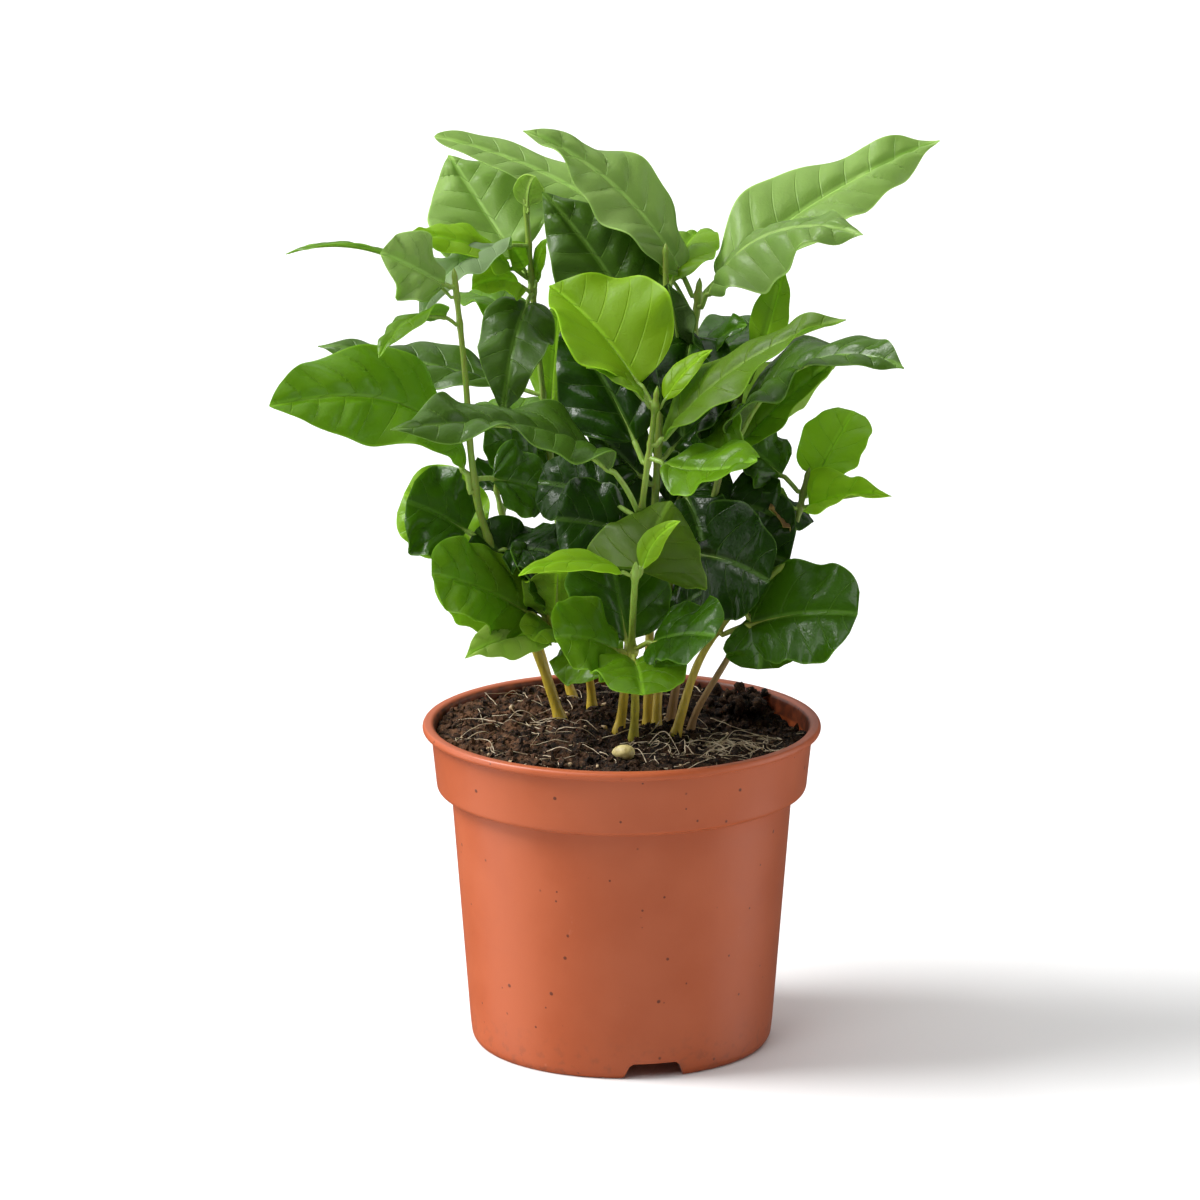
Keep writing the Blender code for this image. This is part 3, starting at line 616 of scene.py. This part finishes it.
def smooth(low, high, value):
    """0 below low, 1 above high, and a smooth step between."""
    share = np.clip((value - low) / (high - low), 0, 1)
    return share * share * (3 - 2 * share)


def ring_axes(points):
    """Two axes square to a path at each point, turning no more than the path does."""
    tangents = np.gradient(points, axis=0)
    tangents /= np.linalg.norm(tangents, axis=1)[:, None]
    side = np.cross(tangents[0], (0.0, 1.0, 0.0) if abs(tangents[0][1]) < 0.9 else (1.0, 0.0, 0.0))
    sides = []
    for tangent in tangents:
        side = side - tangent * side.dot(tangent)
        side = side / np.linalg.norm(side)
        sides.append(side)
    sides = np.array(sides)
    return sides, np.cross(tangents, sides)


def ring_faces(rings, count, start):
    """Faces between rings of count points; start is the number of the first point."""
    faces = []
    for low in range(start, start + (rings - 1) * count, count):
        high = low + count
        faces += [(low + k, low + (k + 1) % count, high + (k + 1) % count, high + k)
                  for k in range(count)]
    return faces


def tube(points, radii, sides, start=0):
    """Points and faces of a closed round tube; start is the number of its first point."""
    points = np.asarray(points, float)
    across, over = ring_axes(points)
    turn = np.linspace(0, math.tau, sides, endpoint=False)
    ring = (np.cos(turn)[None, :, None] * across[:, None] + np.sin(turn)[None, :, None]
            * over[:, None]) * np.asarray(radii)[:, None, None]
    verts = (points[:, None] + ring).reshape(-1, 3)
    faces = ring_faces(len(points), sides, start)
    last = start + (len(points) - 1) * sides
    faces.append(tuple(range(start + sides - 1, start - 1, -1)))
    faces.append(tuple(range(last, last + sides)))
    return verts, faces


def ball(subdivisions):
    """Points and faces of a unit ball."""
    bm = bmesh.new()
    bmesh.ops.create_icosphere(bm, subdivisions=subdivisions, radius=1)
    points = np.array([v.co for v in bm.verts])
    faces = np.array([[v.index for v in f.verts] for f in bm.faces])
    bm.free()
    return points, faces


def lumps(places, sizes, random, subdivisions, rough, flat=(0.6, 1.0)):
    """Points and faces of many small irregular lumps."""
    shape, faces = ball(subdivisions)
    points, all_faces = [], []
    for place, size in zip(places, sizes):
        turn, _ = np.linalg.qr(random.normal(size=(3, 3)))
        stretch = random.uniform(*flat, 3)
        body = shape * (1 + rough * random.normal(size=(len(shape), 1))) * stretch * size
        all_faces.append(faces + len(shape) * len(points))
        if np.linalg.det(turn) < 0:
            turn = -turn
        points.append(body @ turn.T + place)
    return np.vstack(points), np.vstack(all_faces).tolist()


# --- pot ---

def rounded(outline, radii):
    """An outline with its corners rounded; a corner's radius is 0 to leave it sharp."""
    outline = np.array(outline, float)
    result = [outline[0]]
    for before, corner, after, radius in zip(outline, outline[1:], outline[2:], radii[1:]):
        if radius == 0:
            result.append(corner)
            continue
        one, two = before - corner, after - corner
        reach = min(radius, 0.45 * np.linalg.norm(one), 0.45 * np.linalg.norm(two))
        start = corner + one / np.linalg.norm(one) * reach
        end = corner + two / np.linalg.norm(two) * reach
        for share in np.linspace(0, 1, CORNER_STEPS):
            result.append((1 - share) ** 2 * start + 2 * share * (1 - share) * corner
                          + share ** 2 * end)
    result.append(outline[-1])
    return result


def inner_wall(inset=0.0):
    """The pot's inner wall from its mouth down to its floor, as (radius, height)."""
    return [
        (POT_BAND_RADIUS_HIGH - POT_WALL - inset, POT_HEIGHT - 1.0),
        (POT_BAND_RADIUS_LOW - POT_WALL - inset, POT_BAND_BOTTOM + 1.8),
        (POT_BODY_RADIUS_HIGH - inset, POT_BAND_BOTTOM + 0.6),
        (POT_BODY_RADIUS_HIGH - POT_WALL - inset, POT_SHOULDER - 0.6),
        (POT_BODY_RADIUS_LOW - POT_WALL - inset, POT_FLOOR),
    ]


def pot_outline():
    """The pot's section from the middle of its floor out under it, up and over the lip."""
    top, lip = POT_HEIGHT, POT_LIP_RADIUS
    foot_inner = POT_FOOT_RADIUS - POT_FOOT_WIDTH
    corners = [
        (0, POT_FLOOR_BOTTOM, 0), (foot_inner, POT_FLOOR_BOTTOM, 0.8), (foot_inner, 0, 0.5),
        (POT_FOOT_RADIUS, 0, 0.6), (POT_BODY_RADIUS_LOW - 0.5, 1.6, 1.6),
        (POT_BODY_RADIUS_LOW, 5.5, 3.0), (POT_BODY_RADIUS_HIGH, POT_SHOULDER, 0.5),
        (POT_BODY_RADIUS_HIGH + 0.4, POT_BAND_BOTTOM - 0.9, 0.8),
        (POT_BAND_RADIUS_LOW - 1.3, POT_BAND_BOTTOM - 0.4, 0.4),
        (POT_BAND_RADIUS_LOW - 0.3, POT_BAND_BOTTOM + 0.1, 0.5),
        (POT_BAND_RADIUS_LOW, POT_BAND_BOTTOM + 0.9, 0.6),
        (POT_BAND_RADIUS_HIGH, top - POT_LIP_DROP - 0.2, 0.7),
        (lip - 0.3, top - POT_LIP_DROP, 0.6), (lip, top - 1.3, 0.8), (lip - 0.5, top - 0.1, 0.9),
        (POT_BAND_RADIUS_HIGH - POT_WALL + 1.0, top, 0.9),
    ] + [(radius, height, 1.2) for radius, height in inner_wall()] + [(0, POT_FLOOR, 0)]
    return rounded([c[:2] for c in corners], [c[2] for c in corners])


def turned(name, outline, steps):
    """An object turned about Z from an outline in millimetres that starts and ends on the axis."""
    bm = bmesh.new()
    line = [bm.verts.new((radius * MM, 0, height * MM)) for radius, height in outline]
    chain = [bm.edges.new(pair) for pair in zip(line, line[1:])]
    bmesh.ops.spin(bm, geom=line + chain, cent=(0, 0, 0), axis=(0, 0, 1), angle=math.tau,
                   steps=steps, use_merge=True)
    bmesh.ops.remove_doubles(bm, verts=bm.verts, dist=0.005 * MM)
    bmesh.ops.recalc_face_normals(bm, faces=bm.faces)
    return from_bmesh(name, bm)


def prism(bm, outline, low, high):
    """Add an outline in the YZ plane to a bmesh, drawn out along X; its points."""
    ends = [[bm.verts.new((x * MM, y * MM, z * MM)) for y, z in outline] for x in (low, high)]
    near, far = ends
    for one, two, three, four in zip(near, near[1:] + near[:1], far[1:] + far[:1], far):
        bm.faces.new([one, two, three, four])
    bm.faces.new(near[::-1])
    bm.faces.new(far)
    return near + far


def build_pot():
    """The turned pot with flared drain notches and drain holes, cut by a Boolean."""
    pot = turned("nursery_pot", pot_outline(), POT_STEPS)
    bm = bmesh.new()
    low, high = NOTCH_BOTTOM_WIDTH / 2, NOTCH_TOP_WIDTH / 2
    flare = [(low, -1.0), (low - 0.4, 0.6), (high + 0.6, NOTCH_HEIGHT - 0.8),
             (high - 0.6, NOTCH_HEIGHT)]
    flare += [(-y, z) for y, z in reversed(flare)]
    for index in range(NOTCH_COUNT):
        verts = prism(bm, flare, POT_FOOT_RADIUS - 8, POT_FOOT_RADIUS + 6)
        heading = math.radians(NOTCH_TURN) + math.tau / NOTCH_COUNT * index
        spin(bm, verts, heading)
    for index in range(DRAIN_HOLES):
        verts = bmesh.ops.create_cone(bm, cap_ends=True, segments=32, radius1=DRAIN_RADIUS * MM,
                                      radius2=DRAIN_RADIUS * MM, depth=8 * MM)["verts"]
        bmesh.ops.translate(bm, verts=verts, vec=(DRAIN_CIRCLE * MM, 0, POT_FLOOR * MM))
        spin(bm, verts, math.tau / DRAIN_HOLES * index)
    bmesh.ops.recalc_face_normals(bm, faces=bm.faces)
    tool = from_bmesh("pot_cutter", bm)
    boolean = pot.modifiers.new("drains", "BOOLEAN")
    boolean.operation, boolean.solver, boolean.object = "DIFFERENCE", "EXACT", tool
    bpy.context.view_layer.update()
    finished = bpy.data.meshes.new_from_object(pot.evaluated_get(
        bpy.context.evaluated_depsgraph_get()))
    for extra in (pot, tool):
        bpy.data.objects.remove(extra)
    finished.name = "nursery_pot"
    finished.materials.clear()
    finished.materials.append(pot_material())
    finished.shade_smooth()
    finished.set_sharp_from_angle(angle=math.radians(42))
    piece("nursery_pot", finished, ["pot"])


def spin(bm, verts, heading):
    """Turn verts about the pot's axis."""
    turn = Vector((1, 0, 0)).rotation_difference(
        Vector((math.cos(heading), math.sin(heading), 0))).to_matrix()
    bmesh.ops.rotate(bm, verts=verts, cent=(0, 0, 0), matrix=turn)


# --- potting mix ---

def soil_height(x, y):
    """Height of the top of the mix: level, a little lower at the wall, sunk at the hollow."""
    crown = SOIL_CROWN * (x * x + y * y) / POT_BAND_RADIUS_HIGH ** 2
    off = np.hypot(x - HOLLOW_PLACE[0], y - HOLLOW_PLACE[1]) / HOLLOW_RADIUS
    return SOIL_LEVEL - crown - HOLLOW_DEPTH * np.exp(-off * off)


def ground(x, y):
    """Height of the lumpy surface of the mix."""
    rough = 0.0
    for size, share in ((11, 0.55), (4.5, 0.75), (1.9, 0.5), (0.9, 0.25)):
        rough += share * noise.noise((x / size, y / size, 7.3 * size))
    return soil_height(x, y) + SOIL_LUMPS * rough


def build_soil():
    """The mix: a plug in the pot with a lumpy top, and what lies loose on it."""
    edge = POT_BAND_RADIUS_HIGH - POT_WALL - 0.6
    wall = [(radius, height) for radius, height in inner_wall(0.35)
            if height < SOIL_LEVEL - 6][::-1]
    side = [(0, POT_FLOOR + 0.3), (wall[0][0], POT_FLOOR + 0.3)] + wall[1:] + [(edge, 91.0)]
    steps = np.linspace(0, math.tau, SOIL_STEPS, endpoint=False)
    rings = side[1:] + [(edge * (1 - ring / SOIL_RINGS), None) for ring in range(SOIL_RINGS)]
    points = [(0, 0, side[0][1])]
    for radius, height in rings:
        for turn in steps:
            x, y = radius * math.cos(turn), radius * math.sin(turn)
            points.append((x, y, ground(x, y) if height is None else height))
    points.append((0, 0, soil_height(0, 0)))
    count, last = SOIL_STEPS, len(points) - 1
    faces = [(0, 1 + (k + 1) % count, 1 + k) for k in range(count)]
    faces += ring_faces(len(rings), count, 1)
    low = 1 + (len(rings) - 1) * count
    faces += [(low + k, low + (k + 1) % count, last) for k in range(count)]
    peat = soil_material()
    mesh_piece("peat_plug", points, faces, [peat], sharp=180,
               nodes=["potting_mix"])
    build_crumbs(peat, edge)
    build_fibres(edge)


def on_soil(random, count, edge):
    """Random places on the mix."""
    turn = random.uniform(0, math.tau, count)
    reach = edge * np.sqrt(random.uniform(0, 1.0, count))
    x, y = reach * np.cos(turn), reach * np.sin(turn)
    return np.array([(a, b, ground(a, b)) for a, b in zip(x, y)])


def build_crumbs(peat, edge):
    """Loose crumbs of peat, from dust to clods, and pale chips among them."""
    random = np.random.default_rng(CRUMB_SEED)
    places = on_soil(random, CRUMBS, edge - 0.6)
    sizes = 0.28 + 1.35 * random.random(CRUMBS) ** 3.5
    places[:, 2] += 0.3 * sizes
    points, faces = lumps(places, sizes, random, 1, 0.38)
    mesh_piece("peat_crumbs", points, faces, [peat], sharp=35)
    mound = random.normal(MOUND_PLACE, MOUND_SPREAD, (MOUND_CLODS, 3))
    clump = np.vstack([mound, on_soil(random, CLODS, edge - 5)])
    points, faces = lumps(clump, random.uniform(0.9, 2.3, len(clump)), random, 2, 0.22)
    mesh_piece("peat_clods", points, faces, [peat], sharp=180)
    chips = on_soil(random, CHIPS, edge - 3)
    chips[:, 2] += 0.4
    sizes = 0.4 + 1.3 * random.random(CHIPS) ** 2
    points, faces = lumps(chips, sizes, random, 1, 0.15, (0.35, 1.0))
    pale = plain_material("pale_chips", (0.30, 0.19, 0.09), (0.58, 0.44, 0.27), 1.0, 0.7, 0.1)
    mesh_piece("pale_chips", points, faces, [pale], sharp=180)


def fibre_path(random, place, length, lift):
    """A thin root's path over the mix: it wanders and arches, and lies down at its ends."""
    count = 14
    heading = random.uniform(0, math.tau)
    turns = random.normal(0, 1.1) * np.linspace(0, 1, count) + np.cumsum(
        random.normal(0, 0.10, count))
    share = np.linspace(0, 1, count)
    step = length / (count - 1)
    x = place[0] + np.cumsum(step * np.cos(heading + turns))
    y = place[1] + np.cumsum(step * np.sin(heading + turns))
    reach = np.hypot(x, y)
    inside = np.minimum(1, FIBRE_REACH / np.maximum(reach, 1))
    x, y = x * inside, y * inside
    height = np.array([ground(a, b) for a, b in zip(x, y)])
    height = np.convolve(np.pad(height, 2, "edge"), np.ones(5) / 5, "valid")
    return np.stack([x, y, height + 0.5 + lift * np.sin(math.pi * share)], axis=1)


def build_fibres(edge):
    """Pale root fibres, and the straw-coloured root mat at the front right of the mix."""
    random = np.random.default_rng(FIBRE_SEED)
    straw = plain_material("root_fibres", (0.30, 0.20, 0.10), (0.74, 0.62, 0.45), 3.0, 0.6, 0.05)
    starts = list(on_soil(random, FIBRES, edge - 4))
    starts += [place for place in on_soil(random, FIBRES_LEFT, edge - 6) if place[0] < FIBRES_EDGE]
    mat = random.normal(MAT_PLACE, MAT_SPREAD, (MAT_FIBRES, 3))
    starts += [place for place in mat if math.hypot(place[0], place[1]) < edge - 4]
    points, faces = [], []
    for place in starts:
        lift = abs(random.normal(0, 1.3))
        path = fibre_path(random, place, random.uniform(5, 20), lift)
        radius = random.uniform(0.10, 0.21)
        radii = radius * (1 - 0.6 * np.linspace(0, 1, len(path)))
        verts, sides = tube(path, radii, 5, sum(len(p) for p in points))
        points.append(verts)
        faces += sides
    mesh_piece("root_fibres", np.vstack(points), faces, [straw], sharp=180)


def build_husk():
    """The seed husk: an egg-shaped half shell with its seam, lying on the mix."""
    shape, faces = ball(4)
    seam = np.exp(-(shape[:, 1] / 0.16) ** 2) * smooth(0.0, 0.5, shape[:, 2])
    wrinkle = np.array([noise.noise(tuple(p * 3.1)) for p in shape])
    body = shape * (1 + 0.05 * wrinkle - 0.42 * seam)[:, None]
    body[:, 0] *= 1 - 0.16 * shape[:, 0]
    body = body * np.array(HUSK_SIZE) / 2
    x = body[:, 0] * math.cos(HUSK_TURN) - body[:, 1] * math.sin(HUSK_TURN)
    y = body[:, 0] * math.sin(HUSK_TURN) + body[:, 1] * math.cos(HUSK_TURN)
    place = (*HUSK_PLACE, soil_height(*HUSK_PLACE) + HUSK_SIZE[2] / 2 + 0.5)
    husk = plain_material("seed_husk", (0.36, 0.27, 0.085), (0.62, 0.52, 0.22), 1.6, 0.42, 0.12)
    mesh_piece("seed_husk_shell", np.stack([x, y, body[:, 2]], axis=1) + place, faces.tolist(),
               [husk], sharp=180, nodes=["seed_husk"])


# --- stems ---

def stem_foot(stem):
    """Where a stem comes out of the mix."""
    return np.array((*stem.foot, soil_height(*stem.foot)))


def stem_line(stem, samples=STEM_SAMPLES):
    """Points along a stem, a smooth curve through its places, with the radius at each."""
    lean = np.array(stem.places[0], float) - stem_foot(stem)
    planted = stem_foot(stem) - lean / np.linalg.norm(lean) * (SOCKET_DEPTH - GAP)
    places = np.array([planted, stem_foot(stem)] + stem.places, float)
    padded = np.vstack([2 * places[0] - places[1], places, 2 * places[-1] - places[-2]])
    points = [places[0]]
    for a, b, c, d in zip(padded, padded[1:], padded[2:], padded[3:]):
        for share in np.linspace(0, 1, samples + 1)[1:]:
            points.append(0.5 * (2 * b + (c - a) * share + (2 * a - 5 * b + 4 * c - d) * share ** 2
                                 + (3 * b - a - 3 * c + d) * share ** 3))
    points = np.array(points)
    share = (points[:, 2] - points[0, 2]) / (points[-1, 2] - points[0, 2])
    radii = stem.foot_radius + (stem.top_radius - stem.foot_radius) * share ** 0.45
    return points, radii


def stem_at(stem, height):
    """The stem's middle and radius at a height."""
    points, radii = stem_line(stem)
    middle = [np.interp(height, points[:, 2], points[:, axis]) for axis in range(3)]
    return np.array(middle), np.interp(height, points[:, 2], radii)


def build_stem(name, stem, material):
    """One stem with a swollen node at each leaf and a small bud at its tip."""
    points, radii = stem_line(stem, 22)
    for leaf in LEAVES + SMALL_LEAVES:
        if leaf.stem == name:
            radii = radii + 0.30 * radii * np.exp(-((points[:, 2] - leaf.height) / 1.3) ** 2)
    foot = stem_foot(stem)[2]
    radii = radii + 0.25 * radii * np.exp(-((points[:, 2] - foot) / 2.5) ** 2)
    wobble = np.array([noise.noise(tuple(p / 4.0)) for p in points])
    radii = radii * (1 + 0.07 * wobble)
    along = points[-1] - points[-2]
    along /= np.linalg.norm(along)
    bud = np.array([0.6, 1.4, 2.3, 3.1, 3.6])
    points = np.vstack([points, points[-1] + bud[:, None] * along])
    radii = np.concatenate([radii, stem.top_radius * np.array([1.15, 1.1, 0.8, 0.4, 0.12])])
    verts, faces = tube(points, radii, 14)
    mesh_piece("shoot_" + name, verts, faces, [material], sharp=60,
               nodes=["stem_" + name])


# --- leaves ---

def spine(leaf):
    """A leaf's midrib: points with the blade's left and upper directions, and its length."""
    start, radius = stem_at(STEMS[leaf.stem], leaf.height)
    stem_up = stem_at(STEMS[leaf.stem], leaf.height - 1)[0] - start
    stem_up /= np.linalg.norm(stem_up)
    outward = (np.array(leaf.tip, float) - start) * (1, 1, 0)
    outward -= stem_up * outward.dot(stem_up)
    start += outward / np.linalg.norm(outward) * (radius + NODE_GAP + CAD_THICKNESS / 2)
    chord = np.array(leaf.tip, float) - start
    share = np.linspace(0, 1, SPINE_STEPS + 1)
    rise = math.atan2(chord[2], math.hypot(chord[0], chord[1]))
    rise = rise + math.radians(leaf.bend) * (0.5 - share - leaf.early * share * (1 - share))
    heading = math.atan2(chord[1], chord[0]) + math.radians(leaf.sweep) * (share - 0.5)
    along = np.stack([np.cos(rise) * np.cos(heading), np.cos(rise) * np.sin(heading),
                      np.sin(rise)], axis=1)
    left = np.stack([-np.sin(heading), np.cos(heading), 0 * share], axis=1)
    points = np.vstack([np.zeros(3), np.cumsum((along[1:] + along[:-1]) / 2, axis=0)])
    turn = np.array(Vector(points[-1]).rotation_difference(Vector(chord)).to_matrix())
    scale = np.linalg.norm(chord) / np.linalg.norm(points[-1])
    points = start + scale * points @ turn.T
    along, left = along @ turn.T, left @ turn.T
    up = np.cross(along, left)
    roll = np.radians(leaf.roll + leaf.twist * (share - 0.5))[:, None]
    return (points, left * np.cos(roll) + up * np.sin(roll),
            up * np.cos(roll) - left * np.sin(roll), scale * SPINE_STEPS)


def half_width(leaf, share):
    """Half the blade's width, at a share of the blade's length from its base."""
    slimness, peak, _ = KINDS[leaf.kind]
    peak = leaf.peak or peak
    outline = (share / peak) ** peak * ((1 - share) / (1 - peak)) ** (1 - peak)
    return leaf.width / 2 * outline ** slimness


def at_stations(values, along):
    """A spine's values, given at even stations, at other shares of its length."""
    stations = np.linspace(0, 1, SPINE_STEPS + 1)
    return np.stack([np.interp(along, stations, values[:, axis]) for axis in range(3)], axis=-1)


def vein_rank(number, blade, half, along, across):
    """How many side veins lie between each place and the base, on a blade of a length."""
    lean = half / (blade * math.tan(VEIN_ANGLE))
    veins = max(4, round(blade / VEIN_SPACING))
    rank = (along - 0.75 * lean * np.abs(across) - 0.35 * lean * across ** 2) * veins
    return rank + np.where(across < 0, 0.45, 0.0) + 0.12 * np.sin(5 * along + number)


def relief(random, leaf, scale, half, rank, along, across):
    """How far a blade stands off its plain halves: swellings, midrib groove, waves and warp."""
    phase = rank - np.floor(rank)
    inside = smooth(0.02, 0.30, np.abs(across)) * (1 - across ** 4)
    ends = smooth(0.0, 0.12, along) * smooth(1.0, 0.85, along)
    swell = random.uniform(0.45, 1.25, (2, SWELLINGS)) * KINDS[leaf.kind][2]
    swell = swell[(across > 0).astype(int), np.floor(rank).astype(int) % SWELLINGS]
    quilt = QUILT_HEIGHT * leaf.quilt * swell * (4 * phase * (1 - phase)) ** 0.6 * inside * ends
    depth, width = MIDRIB_GROOVE
    groove = depth * np.exp(-(half * across / (width * scale)) ** 2) * (1 - 0.7 * along)
    wave = 0.0
    for fewest, most, height, steep in WAVES:
        cycles, offset = random.uniform(fewest, most, 2), random.random(2)
        turns = np.where(across > 0, cycles[0] * along + offset[0], cycles[1] * along + offset[1])
        wave = wave + height * np.sin(math.tau * turns) * np.abs(across) ** steep
    warp = 0.5 * np.sin(math.tau * (1.3 * along + random.random())) * across
    return scale * (quilt - groove + (wave * leaf.wave + warp) * ends)


def blade_stations(rows, columns):
    """A blade's shares of its length and of its half width, closer at the ends and midrib."""
    v = np.linspace(0, 1, rows + 1)
    v = 0.7 * v + 0.3 * (1 - np.cos(math.pi * v)) / 2
    u = np.linspace(-1, 1, columns + 1)
    return v, np.sign(u) * np.abs(u) ** 0.9


def build_leaf(number, leaf, materials):
    """One leaf: a quilted blade with wavy margins, its midrib below and its petiole."""
    random = np.random.default_rng(LEAF_SEED + number)
    points, left, up, length = spine(leaf)
    blade_start = leaf.petiole / length
    blade = length - leaf.petiole
    rows = max(14, round(blade / CELL))
    columns = 2 * max(6, round(leaf.width / CELL / 2))
    v, u = blade_stations(rows, columns)
    along, across = np.meshgrid(v, u, indexing="ij")
    scale = min(1.0, leaf.width / FULL_WIDTH)
    rib = max(0.35, 0.85 * math.sqrt(leaf.width / 30))
    margin = [1 + 0.04 * np.sin(math.tau * (1.7 * along + phase))
              + 0.012 * np.sin(math.tau * (3.9 * along + 2 * phase))
              for phase in random.random(2)]
    half = np.where(across > 0, *margin) * half_width(leaf, along)
    half = np.maximum(half, rib * (1 - 0.8 * along))
    rank = vein_rank(number, blade, half, along, across)
    slope = leaf.fold + leaf.curl * np.abs(across)
    reach = half * np.abs(across) / np.hypot(1, slope)
    lift = reach * slope + relief(random, leaf, scale, half, rank, along, across)
    middle, side, over = (at_stations(values, blade_start + (1 - blade_start) * along)
                          for values in (points, left, up))
    surface = middle + (np.sign(across) * reach)[..., None] * side + lift[..., None] * over
    normal = np.cross(np.gradient(surface, axis=0), np.gradient(surface, axis=1))
    normal /= np.maximum(np.linalg.norm(normal, axis=-1), 1e-9)[..., None]
    thick = THICKNESS * (0.6 + 0.4 * scale) / 2
    shell = np.vstack([(surface + normal * thick).reshape(-1, 3),
                       (surface - normal * thick).reshape(-1, 3)])
    faces, indices = shell_faces(rows, columns)
    blade_uv = np.stack([half * across, along * blade], axis=-1).reshape(-1, 2)
    veins_uv = np.stack([np.abs(across), rank], axis=-1).reshape(-1, 2)

    # the petiole, which runs on as the midrib under the blade
    lead = at_stations(points, np.linspace(0, blade_start, 7)[:-1])
    stem_middle, _ = stem_at(STEMS[leaf.stem], leaf.height)
    mid = columns // 2
    sunk = (smooth(0.0, 0.1, v) * (thick + 0.25 * rib * (1 - 0.8 * v)))[:, None]
    under = surface[:, mid] - normal[:, mid] * sunk
    path = np.vstack([stem_middle, lead, under[:-1]])
    radii = np.concatenate([[1.15 * rib], np.full(6, rib), rib * (1 - 0.82 * v[:-1] ** 0.8)])
    verts, rib_faces = tube(path, radii, 8, len(shell))
    rib_uv = np.tile([0.0, 0.5], (len(verts), 1))

    packed = leaf in LEAVES
    mesh_piece(("blade_" if packed else "small_") + leaf.name, np.vstack([shell, verts]),
               faces + rib_faces, materials,
               uvs={"blade": np.vstack([blade_uv, blade_uv, rib_uv]),
                    "veins": np.vstack([veins_uv, veins_uv, rib_uv])},
               indices=np.concatenate([indices, np.full(len(rib_faces), 2)]).astype(np.int32),
               nodes=["leaf_" + leaf.name] if packed else ())


def shell_faces(rows, columns):
    """Faces of a grid's upper side, lower side and rim, with 1 for those of the lower side."""
    wide, below = columns + 1, (rows + 1) * (columns + 1)
    corner = (np.arange(rows)[:, None] * wide + np.arange(columns)).reshape(-1, 1)
    top = corner + np.array([0, wide, wide + 1, 1])
    under = corner[:, :1] + below + np.array([0, 1, wide + 1, wide])
    run = np.arange(rows)[:, None] * wide
    row = np.arange(columns)[:, None]
    last = rows * wide
    rim = np.vstack([run + np.array([0, below, below + wide, wide]),
                     run + columns + np.array([wide, below + wide, below, 0]),
                     row + np.array([1, below + 1, below, 0]),
                     row + last + np.array([0, below, below + 1, 1])])
    faces = np.vstack([top, under, rim]).tolist()
    indices = np.concatenate([np.zeros(len(top)), np.ones(len(under)), np.zeros(len(rim))])
    return faces, indices


# --- stage ---

def build_stage():
    """The pale floor, the studio light and the camera."""
    bm = bmesh.new()
    bmesh.ops.create_grid(bm, x_segments=1, y_segments=1, size=12)
    floor = from_bmesh("floor", bm)
    paper = Shading("floor_paper")
    paper.principled(Base_Color=(0.80, 0.80, 0.80), Roughness=0.9, Specular_IOR_Level=0.1)
    floor.data.materials.append(paper.material)
    floor.visible_glossy = False

    world = bpy.data.worlds.new("studio")
    bpy.context.scene.world = world
    world.use_nodes = True
    sky = Nodes(world.node_tree)
    direction = sky.node("ShaderNodeTexCoord").outputs["Generated"]
    glow = 0.0
    for towards, low, high, dim, bright in SKY:
        facing = sky.node("ShaderNodeVectorMath", {0: direction, 1: Vector(towards).normalized()},
                          operation="DOT_PRODUCT").outputs["Value"]
        glow = sky.plus(glow, sky.ramp(facing, low, high, dim, bright))
    backdrop = sky.tree.nodes["Background"]
    sky.set(backdrop.inputs["Strength"], glow)
    sky.set(backdrop.inputs["Color"], (1, 1, 1))

    towards, strength, width = KEY
    light = bpy.data.lights.new("key", "SUN")
    light.energy, light.angle = strength, math.radians(width)
    new_object("key", light).rotation_euler = Vector(towards).to_track_quat("Z", "Y").to_euler()

    camera = bpy.data.cameras.new("camera")
    camera.lens, camera.sensor_width, camera.clip_end = CAMERA_LENS, CAMERA_SENSOR, CAMERA_REACH
    made = new_object("camera", camera)
    made.location = CAMERA_PLACE
    made.rotation_euler = (math.radians(90 - CAMERA_PITCH), 0, math.radians(CAMERA_YAW))
    bpy.context.scene.camera = made
    bpy.context.scene.view_settings.view_transform = "Standard"


# --- the whole ---

build_pot()
build_soil()
build_husk()
stems = {bark: stem_material(bark) for bark in BARKS}
for name, stem in STEMS.items():
    build_stem(name, stem, stems[stem.bark])
faces_of = {tone: [leaf_material(tone, "upper"), leaf_material(tone, "lower"),
                   stems["young"]] for tone in TONES}
for number, leaf in enumerate(LEAVES + SMALL_LEAVES):
    build_leaf(number, leaf, faces_of[leaf.tone])
build_stage()
